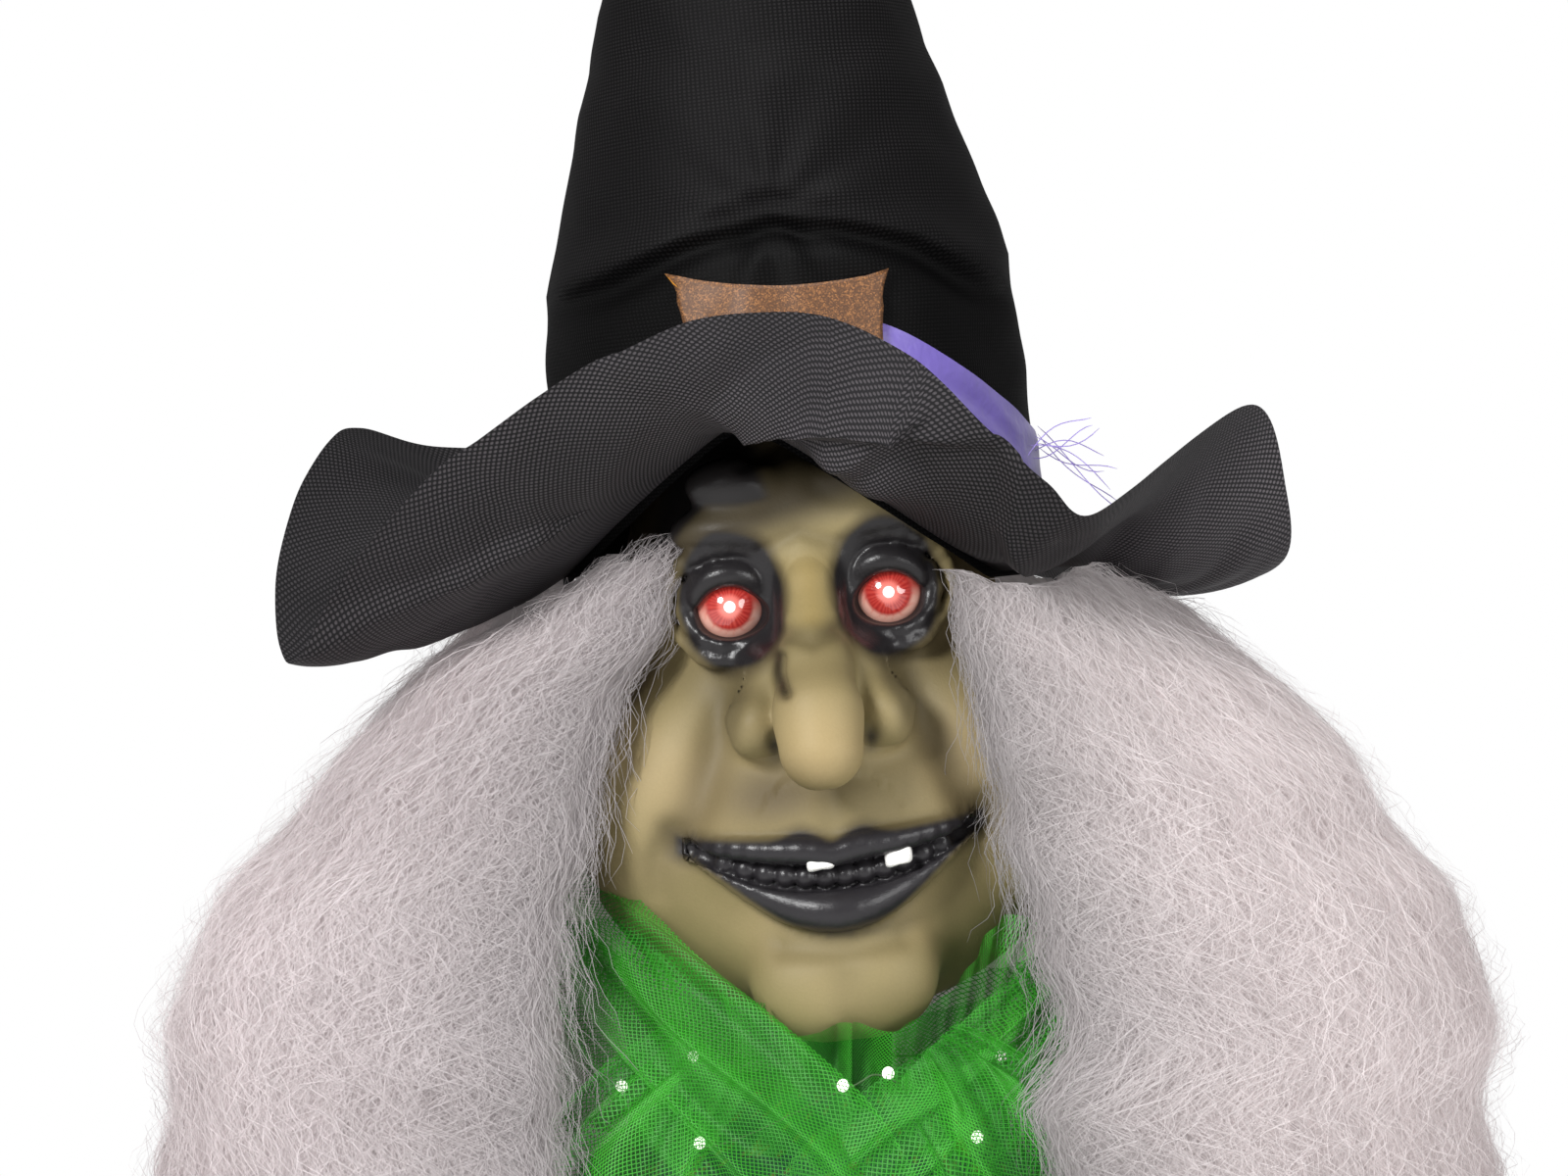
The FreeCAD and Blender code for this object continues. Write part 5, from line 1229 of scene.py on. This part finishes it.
def build_frill():
    """The standing part of the collar: it rises from the neck seam to under the chin in deep gathers."""
    columns, rows = 620, 44
    edge = curve_through(FRILL_EDGE, columns, closed=True)
    angle = np.arctan2(edge[:, 0], -edge[:, 1])[None, :]
    t = np.linspace(0, 1, rows)[:, None]
    seam = oval(angle, 56, 60, NECK_SEAM_Z)
    low = oval(angle, 112, 118, 838.0)
    top = edge[None, :]
    share = t[..., None]
    grid = low * (1 - share) ** 2 + seam * 2 * share * (1 - share) * 0.75
    grid = grid + (low * 0.5 + top * 0.5) * 2 * share * (1 - share) * 0.25 + top * share**2
    pleat = 15 * angle + 2.6 * np.sin(3 * angle + 1.0) + 2.4 * t * np.sign(np.sin(angle))
    swell = 5.0 * np.sin(pleat) + 2.2 * np.sin(2.6 * pleat + 2 * t) + 1.5 * np.sin(61 * angle + 3 * t)
    swell = swell * (0.25 + 0.75 * np.abs(2 * t - 0.9))
    grid = grid + oval(angle, 1, 1, 0) * swell[..., None]
    grid[..., 2] += 2.5 * np.sin(17 * angle + 2) * t
    length = 120 * np.linspace(-math.pi, math.pi, columns)[None, :] + 0 * t
    uv = np.stack([1.35 * length, 95 * t + 0 * length], -1)
    # Painted light and shade across the pleats.
    shade = 0.5 + 0.4 * np.sin(pleat + 0.7)
    tint = net_tint(shade.ravel(), rows * columns)
    frill = grid_mesh("collar_frill", grid, NET, "torso", ring=True, uv=uv, tint=tint)
    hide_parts("tulle_collar")


def swag(name, spine, widths, folds, fold_depth, flat, seed):
    """A gathered band of net along a spine of (left, back, up), with folds that run along it."""
    rows, columns = 120, 150
    line = curve_through(spine, rows)
    wide = np.interp(np.linspace(0, 1, rows), np.linspace(0, 1, len(widths)), widths)
    along = unit(np.gradient(line, axis=0))
    out = unit(line * np.array((1.0, 1.0, 0.0))) * 0.75 + np.array((0.0, -0.35, 0.15))
    side = unit(np.cross(out, along))
    out = np.cross(along, side)
    v = np.linspace(-1, 1, columns)[None, :]
    u = np.linspace(0, 1, rows)[:, None]
    warp = 0.30 * wobble(3 * u, 1.5 * v, 1.1, seed) + 0.10 * wobble(6 * u, 4 * v, 1.0, seed + 2)
    phase = folds * math.pi * (v * (1.25 - 0.5 * u) + warp) + 2.0 * np.sin(2.6 * u + seed)
    wave = np.sin(phase) * (0.65 + 0.35 * wobble(4 * u, 2 * v, 1.3, seed + 4))
    height = fold_depth * (wave + 0.3 * np.sin(2.3 * phase + 5 * u)) * (0.7 + 0.3 * np.cos(3 * u + v + seed))
    height = height + 9.0 * (1 - v**2) + 1.4 * wobble(150 * u, 60 * v, 13, seed + 1)
    lateral = v * wide[:, None] / 2 + 0.30 * fold_depth * np.cos(phase)
    grid = line[:, None] + side[:, None] * lateral[..., None] + out[:, None] * height[..., None]
    length = np.cumsum(np.linalg.norm(np.diff(line, axis=0, prepend=line[:1]), axis=1))[:, None] + 0 * v
    uv = np.stack([length, flat[0] / MM / 2 * v + 0 * u], -1)
    # Painted light and shade across the folds.
    shade = np.clip(0.5 + 0.42 * wave + 0.2 * wobble(100 * u, 40 * v, 20, seed), 0, 1)
    piece = grid_mesh(name, grid, NET, "torso", uv=uv, tint=net_tint(shade.ravel(), rows * columns))


def build_collar():
    build_frill()
    for strip in SWAGS:
        swag(*strip)


def build_lights():
    """The light string: small lit beads that shine through the net, on one thin wire."""
    bulb = Shader("bead_glow", LED_GLOW, 0.2, Coat_Weight=1.0, Emission_Color=(*LED_GLOW, 1.0),
                  Emission_Strength=2.2)
    wire = plain("light_wire", linear(90, 120, 80), 0.4, Metallic=0.4)
    points, faces = [], []
    for place in LIGHT_PLACES:
        grid = ball_grid(place, (2.6, 2.6, 2.8), 10)
        rows, columns = grid.shape[:2]
        faces.append(grid_faces(rows, columns, ring=True) + sum(len(p) for p in points))
        points.append(grid.reshape(-1, 3))
    beads = make_mesh("light_beads", np.concatenate(points), np.concatenate(faces), bulb.material, "torso")
    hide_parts("collar_lights")
    order = sorted(LIGHT_PLACES, key=lambda p: math.atan2(p[0], -p[1]))
    run = curve_through(order, 160, closed=True)
    run = np.concatenate([run, run[:1]])
    run[:, 2] -= 2.0
    grid = tube_grid(run, np.full(len(run), 0.45), 6)
    string = grid_mesh("light_wire_ring", grid.transpose(1, 0, 2), wire, "torso")


def tube_grid(line, radii, sides):
    """Rings of points along a line, columns x points x 3."""
    line = np.asarray(line, float)
    along = unit(np.gradient(line, axis=0))
    up = np.where(np.abs(along[:, 2:3]) > 0.9, (1.0, 0.0, 0.0), (0.0, 0.0, 1.0))
    side = unit(np.cross(along, up))
    up = np.cross(side, along)
    a = np.linspace(0, 2 * math.pi, sides + 1)[:, None, None]
    return line[None] + radii[None, :, None] * (side[None] * np.cos(a) + up[None] * np.sin(a))


# ---------------------------------------------------------------- dress

TEAL, TEAL_DARK, GOLD = linear(24, 66, 66), linear(8, 26, 30), linear(170, 150, 70)
# Height, half width and half depth of the dress's body from the waist to the neck
BODY = [
    (528, 92, 84), (600, 84, 70), (680, 104, 82), (760, 124, 90), (800, 128, 84), (822, 118, 76),
    (842, 92, 66), (858, 64, 60),
]
SPECK_SPACING = 1.9
SKIRT_TOP_R, HEM_SWELL = 88.0, 16.0


def speckled(uv, seed):
    """The dress's colours at places on its map: teal with small scattered gold specks."""
    u, v = np.moveaxis(np.floor(uv / SPECK_SPACING), -1, 0)
    scatter = np.abs(np.sin(u * 127.1 + v * 311.7 + seed) * 43758.5) % 1.0
    return mix(TEAL * np.ones(u.shape + (1,)), GOLD, np.where(scatter > 0.93, 0.9, 0.0))


def build_body_cloth():
    angle, z = round_grid(360, 150, WAIST_Z - 3, NECK_SEAM_Z, closed=True)
    half_w, half_d = table(BODY, z)
    creases = 1.6 * wobble(110 * angle, z, 26, 21) + 1.0 * np.sin(18 * angle) * smooth_step(640, 540, z)
    creases = creases + 1.2 * np.sin(34 * angle) * smooth_step(570, 530, z)
    grid = oval(angle, half_w + creases, half_d + creases, z)
    uv = np.stack([105 * angle, z], -1)
    tint = speckled(uv, 3)
    body = grid_mesh("dress_cloth_body", grid, DRESS, "torso", ring=True, uv=uv, tint=tint)
    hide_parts("dress_bodice")


def build_skirt():
    """The long skirt: gathered at the waist, falling in soft cones to a ragged hem."""
    angle, t = round_grid(720, 138, 0.0, 1.0, closed=True)
    fall = smooth_step(0.0, 0.16, t)
    base = SKIRT_TOP_R + (HEM_R - HEM_SWELL - SKIRT_TOP_R) * (0.35 * t + 0.65 * t**0.85)
    round_share = smooth_step(0.0, 0.4, t)
    depth = base * (0.93 + 0.07 * round_share)
    wave = np.sin(13 * angle + 0.9 * np.sin(2 * angle + 1)) + 0.45 * np.sin(22 * angle + 2.1 + 1.2 * t)
    wave = wave + 0.25 * np.sin(39 * angle + 3 * t)
    gather = 1.6 * np.sin(64 * angle + 2 * np.sin(5 * angle)) * (1 - smooth_step(0.0, 0.25, t))
    swell = fall * (2.0 + 13.0 * t) * wave + gather + 1.5 * wobble(200 * angle, 500 * t, 60, 23) * fall
    ragged = 7.0 * np.abs(np.sin(22 * angle + np.sin(7 * angle)))
    ragged = ragged + 4.0 * wobble(250 * angle, 0 * angle, 9, 25)
    z = WAIST_Z + (HEM_Z + 6.0 - WAIST_Z) * t + ragged * smooth_step(0.93, 1.0, t)
    grid = oval(angle, base + swell, depth + swell, z)
    uv = np.stack([190 * angle, 510 * t], -1)
    tint = speckled(uv, 5)
    skirt = grid_mesh("dress_cloth_skirt", grid, DRESS, "torso", ring=True, uv=uv, tint=tint)
    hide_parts("dress_skirt")


def build_belt():
    """A ribbon tie over the waist seam."""
    angle, v = round_grid(200, 9, -1.0, 1.0)
    out = 3.4 + 0.8 * wobble(90 * angle, 9 * v, 12, 27)
    half_w, half_d = table(BODY, WAIST_Z + 4 + 0 * angle)
    grid = oval(angle, half_w + out, half_d + out, WAIST_Z + 4 + 11 * v + 1.2 * np.sin(3 * angle))
    belt = grid_mesh("waist_ribbon", grid, plain("belt_satin", linear(96, 76, 160), 0.4), "torso")


# How far each forearm rises from level towards the hand, in degrees
FOREARM_PITCH = {"left": -14.0, "right": 8.0}


def arm_frame(side):
    """The forearm's frame: where it starts, its direction and the direction that is up across it."""
    pitch = math.radians(FOREARM_PITCH[side])
    along = Vector((0.0, -math.cos(pitch), math.sin(pitch)))
    up = Vector((0.0, math.sin(pitch), math.cos(pitch)))
    return ELBOW[side], along, up


def forearm_placed(points, side):
    """Carries points from the forearm's frame, where it runs along -Y from the elbow, to their place."""
    origin, along, up = arm_frame(side)
    points = np.asarray(points, float)
    x, y, z = points[..., 0] * SIGN[side], points[..., 1], points[..., 2]
    placed = np.array(origin) + x[..., None] * np.array((1.0, 0, 0)) - y[..., None] * np.array(along)
    return placed + z[..., None] * np.array(up)


def build_sleeve(side):
    """One sleeve from the shoulder round the elbow to its bell mouth, in one piece."""
    elbow, along, up = arm_frame(side)
    shoulder = SHOULDER[side]
    s = SIGN[side]
    spine = [(shoulder.x - s * 34, 0, 822, 26), (shoulder.x - s * 14, 0, 826, 38), (shoulder.x, 0, 800, 46),
             (shoulder.x, 0, 740, 45), (shoulder.x, 1, 670, 43), (shoulder.x, -2, 622, 43)]
    for reach, drop, radius in ((14, 2, 44), (52, 3, 45), (95, 6, 49), (135, 10, 57), (172, 15, 68)):
        place = elbow + along * reach - up * drop
        spine.append((place.x, place.y, place.z, radius))
    line = curve_through(spine, 130)
    rings, columns = line.shape[0], 150
    centre, radius = line[:, :3], line[:, 3]
    tangent = unit(np.gradient(centre, axis=0))
    across = np.broadcast_to(np.array((1.0, 0.0, 0.0)), tangent.shape)
    across = unit(across - tangent * (across * tangent).sum(1, keepdims=True))
    other = np.cross(tangent, across)
    a = np.linspace(0, 2 * math.pi, columns, endpoint=False)[None, :]
    t = np.linspace(0, 1, rings)[:, None]
    wave = 1.5 * wobble(45 * np.sin(a) + 30 * t, 420 * t + 20 * np.cos(a), 30, 29)
    bell = smooth_step(0.62, 1.0, t)
    wave = wave + bell * 7.0 * np.sin(7 * a + 1.4 * np.sin(2 * a)) + 0.8 * np.sin(11 * a + 9 * t)
    bunch = 2.2 * hump(t, 0.5, 0.09) * np.sin(70 * t + np.sin(a))
    full = radius[:, None] + wave + bunch
    narrow = 1.0 - 0.18 * bell
    grid = centre[:, None] + across[:, None] * (full * np.cos(a) * narrow)[..., None]
    grid = grid + other[:, None] * (full * np.sin(a) * (1 + 0.12 * bell))[..., None]
    uv = np.stack([48 * a + 0 * t, 470 * t + 0 * a], -1)
    tint = speckled(uv, 7)
    sleeve = grid_mesh(f"sleeve_{side}", grid, DRESS, None, ring=True, uv=uv, tint=tint)
    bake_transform(sleeve)
    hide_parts(f"upper_sleeve_{side}", f"lower_sleeve_{side}")


# ---------------------------------------------------------------- hands

# Sideways at the knuckle, how far it spreads in degrees, and length of each finger
FINGERS = [(-27, -13, 64), (-9, -4, 76), (9.5, 4, 72), (27, 14, 58)]
WRIST_Y = -166.0
# The thumb from its root to its tip: across, beyond the wrist, up and radius
THUMB = [(-22, -40, -2, 11), (-42, -68, -6, 9.0), (-54, -88, -12, 7.5), (-60, -104, -18, 5.4)]


def finger_joints(x, spread, length):
    a = math.radians(spread)
    root = np.array((x * 0.9, WRIST_Y - 88.0, 0.0))
    aim = np.array((math.sin(a), -math.cos(a), 0.0))
    first = root + aim * length * 0.48 + np.array((0, 0, 6.0))
    second = first + aim * length * 0.30 + np.array((0, 0, -7.0))
    tip = second + aim * length * 0.20 + np.array((0, 0, -12.0))
    return root, first, second, tip


def hand_shape(points):
    clay = Clay(points)
    clay.chain([(0, WRIST_Y + 1, 0, 17), (0, WRIST_Y - 34, 0, 18.5)], 2)
    clay.ball((0, WRIST_Y - 66, 1), (34, 42, 13), 14)
    for x, spread, length in FINGERS:
        root, first, second, tip = finger_joints(x, spread, length)
        heel = np.array((x * 0.45, WRIST_Y - 42.0, 3.0))
        clay.chain([(*heel, 9), (*(root + (0, 0, 1)), 9.5)], 7)
        clay.chain([(*root, 8.8), (*first, 7.4), (*second, 6.4), (*tip, 5.2)], 3)
        clay.ball(first + (0, 0, 1.5), (8.2, 8.5, 7.6), 3)
        clay.ball(second + (0, 0, 1.0), (7.0, 7.0, 6.6), 3)
        clay.chain([(*(heel + (0, -6, 8.5)), 1.6), (*(root + (0, 0, 8.6)), 1.8)], 4)
    clay.chain([(x, WRIST_Y + y, z, radius) for x, y, z, radius in THUMB], 5)
    return clay.distance


def nail(tip, second):
    """A long pointed nail on a fingertip, as a small bent leaf."""
    aim = unit(tip - second)
    up = np.array((0.0, -0.35, 1.0))
    up = unit(up - aim * (up @ aim))
    side = np.cross(aim, up)
    t = np.linspace(0, 1, 10)[:, None, None]
    v = np.linspace(-1, 1, 7)[None, :, None]
    width = 4.4 * np.cos(t * math.pi / 2) ** 0.55 + 0.2
    centre = tip + aim * (-5.0 + 17.0 * t) + up * (4.9 - 3.4 * t**2)
    return centre + side * width * v - up * (1.7 * v**2)


def build_hand(side):
    low = (-72, WRIST_Y - 186, -34)
    high = (50, WRIST_Y + 2, 24)
    points, faces, normal = sculpt(hand_shape, low, high, 1.5)
    if side == "right":
        faces = faces[:, ::-1]
    x, y, z = points.T
    creases = np.zeros(len(points))
    for fx, spread, length in FINGERS:
        for joint in finger_joints(fx, spread, length)[1:3]:
            away = np.linalg.norm((points - joint) * (1.0, 0.35, 0.6), axis=1)
            wrinkles = 0.5 + 0.5 * np.cos(1.6 * (y - joint[1]))
            creases = np.maximum(creases, hump(away, 0, 7.5) * wrinkles)
    light = 0.4 * smooth_step(-0.3, 0.9, wobble(x, y, 16, 31))
    tint = mix(SKIN * np.ones((len(points), 1)), SKIN_LIGHT, light)
    # Darker brown in the knuckle creases: partly the vinyl's paint, partly painted shade.
    tint = mix(tint, BROWN_PAINT_AND_SHADE, 0.55 * creases)
    # Darker on the underside: painted shade.
    under = smooth_step(-2, -12, z)
    tint = mix(tint, SKIN_DARK, 0.35 * under)
    points = points - normal * (0.7 * creases)[:, None]
    placed = forearm_placed(points, side)
    hand = make_mesh(f"hand_skin_{side}", placed, faces, VINYL, f"forearm_{side}", tint=tint)
    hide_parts(f"hand_{side}")
    black = plain(f"nail_paint_{side}", linear(40, 38, 42), 0.25)
    thumb = [np.array((x, WRIST_Y + y, z)) for x, y, z, _ in THUMB[:-3:-1]]
    tips = [finger_joints(*finger)[3:1:-1] for finger in FINGERS] + [thumb]
    for k, (tip, second) in enumerate(tips):
        leaf_grid = forearm_placed(nail(tip, second), side)
        leaf = grid_mesh(f"nail_{side}_{k + 1}", leaf_grid, black, f"forearm_{side}")
        thicken(leaf, 0.9)


# ---------------------------------------------------------------- the CAD pieces that stay in view

CAD_LOOKS = {
    "black_steel": (linear(38, 38, 40), 0.42, 0.3),
    "plated_steel": (linear(176, 176, 172), 0.3, 1.0),
    "rubber": (linear(30, 30, 30), 0.85, 0.0),
    "black_plastic": (linear(34, 34, 36), 0.5, 0.0),
    "grey_plastic": (linear(120, 120, 122), 0.55, 0.0),
    "gear_plastic": (linear(226, 222, 206), 0.4, 0.0),
    "red_plastic": (linear(176, 26, 22), 0.35, 0.0),
    "circuit": (linear(20, 90, 50), 0.45, 0.0),
    "battery": (linear(66, 72, 96), 0.35, 0.5),
    "skull_plastic": (linear(60, 58, 56), 0.7, 0.0),
    "red_lamp": (linear(255, 60, 40), 0.2, 0.0),
}


def dress_cad_pieces():
    slots = {part["node"]: part["material_slot"] for part in frame["record"]["subparts"]}
    made = {}
    for node, obj in frame["nodes"].items():
        slot = slots.get(node)
        if slot not in CAD_LOOKS:
            continue
        if slot not in made:
            colour, rough, metal = CAD_LOOKS[slot]
            shader = Shader(f"cad_{slot}", colour, rough, Metallic=metal)
            if "plastic" in slot or slot == "rubber":
                shader.bump(shader.noise(1400.0, 2.0), 0.05)
            made[slot] = shader.material
        obj.data.materials.clear()
        obj.data.materials.append(made[slot])


# ---------------------------------------------------------------- light, floor and camera

# From here on lengths are metres.
FLOOR_REACH = 6.0
# The floor turns into plain white between these distances from the figure, so it has no far edge
FLOOR_FADE = (0.5, 3.4)
AMBIENT = 0.25
HEAD_PLACE = (0.0, -0.05, 1.05)
# Each light's name, place, size across and power in watts
LIGHTS = [
    ("key", (-1.35, -2.2, 2.0), 0.8, 72.0),
    ("fill", (1.8, -2.1, 1.5), 1.4, 34.0),
    ("top", (-0.2, -0.4, 3.0), 1.2, 26.0),
]
CAMERA_PLACE = (-0.0286, -2.260, 1.075)
CAMERA_LENS, CAMERA_SENSOR = 117.9, 36.0


def area_light(name, place, target, size, power):
    lamp = bpy.data.lights.new(name, "AREA")
    lamp.shape = "DISK"
    lamp.size = size
    lamp.energy = power
    obj = bpy.data.objects.new(name, lamp)
    bpy.context.scene.collection.objects.link(obj)
    obj.location = place
    obj.rotation_euler = (Vector(target) - Vector(place)).to_track_quat("-Z", "Y").to_euler()


def build_floor():
    """A pale floor that takes the figure's shadow."""
    size = FLOOR_REACH / MM
    grid = np.array([[(-size, -size, 0), (size, -size, 0)], [(-size, size, 0), (size, size, 0)]], float)
    ground = Shader("pale_floor", linear(236, 236, 236), 0.7)
    place = ground.add("ShaderNodeTexCoord").outputs["Object"]
    reach = ground.add("ShaderNodeVectorMath", {"operation": "LENGTH"}, i0=place).outputs["Value"]
    fade = ground.add("ShaderNodeMapRange", {"interpolation_type": "SMOOTHSTEP"}, i0=reach,
                      i1=FLOOR_FADE[0], i2=FLOOR_FADE[1])
    white = ground.add("ShaderNodeEmission", Strength=1.0)
    both = ground.add("ShaderNodeMixShader", i0=fade.outputs[0], i1=ground.surface.outputs[0],
                      i2=white.outputs[0])
    ground.link(both.outputs[0], ground.output.inputs["Surface"])
    grid_mesh("floor", grid, ground.material)


def build_surroundings():
    """Weak light from all sides, in front of a white background."""
    world = bpy.data.worlds.new("studio")
    world.use_nodes = True
    nodes, links = world.node_tree.nodes, world.node_tree.links
    ambient = nodes["Background"]
    ambient.inputs["Strength"].default_value = AMBIENT
    behind = nodes.new("ShaderNodeBackground")
    for background in (ambient, behind):
        background.inputs["Color"].default_value = (1.0, 1.0, 1.0, 1.0)
    seen = nodes.new("ShaderNodeLightPath")
    either = nodes.new("ShaderNodeMixShader")
    links.new(seen.outputs["Is Camera Ray"], either.inputs[0])
    links.new(ambient.outputs[0], either.inputs[1])
    links.new(behind.outputs[0], either.inputs[2])
    links.new(either.outputs[0], nodes["World Output"].inputs["Surface"])
    bpy.context.scene.world = world


def build_camera():
    """A long lens level with the face, as the figure is shown."""
    scene = bpy.context.scene
    camera_data = bpy.data.cameras.new("camera")
    camera_data.sensor_width = CAMERA_SENSOR
    camera_data.lens = CAMERA_LENS
    camera_data.clip_end = 50.0
    camera = bpy.data.objects.new("camera", camera_data)
    scene.collection.objects.link(camera)
    camera.location = CAMERA_PLACE
    camera.rotation_euler = (math.pi / 2, 0.0, 0.0)
    scene.camera = camera
    scene.view_settings.view_transform = "Standard"


def build_stage():
    build_floor()
    build_surroundings()
    for name, place, size, power in LIGHTS:
        area_light(name, place, HEAD_PLACE, size, power)
    build_camera()


# ---------------------------------------------------------------- the whole figure

NET = net_material()
VINYL = vinyl_material()
HAIR_INSIDE = hair_material("hair_inside", thin=False)
HAIR_OUTSIDE = hair_material("hair_outside", thin=True)
DRESS = cloth_material("dress_teal", TEAL, TEAL_DARK)

build_face()
build_eyes()
build_teeth()
build_crown()
build_brim()
build_band()
build_buckle()
build_hair()
build_collar()
build_lights()
build_body_cloth()
build_skirt()
build_belt()
for arm in ("left", "right"):
    build_sleeve(arm)
    build_hand(arm)
dress_cad_pieces()
build_stage()
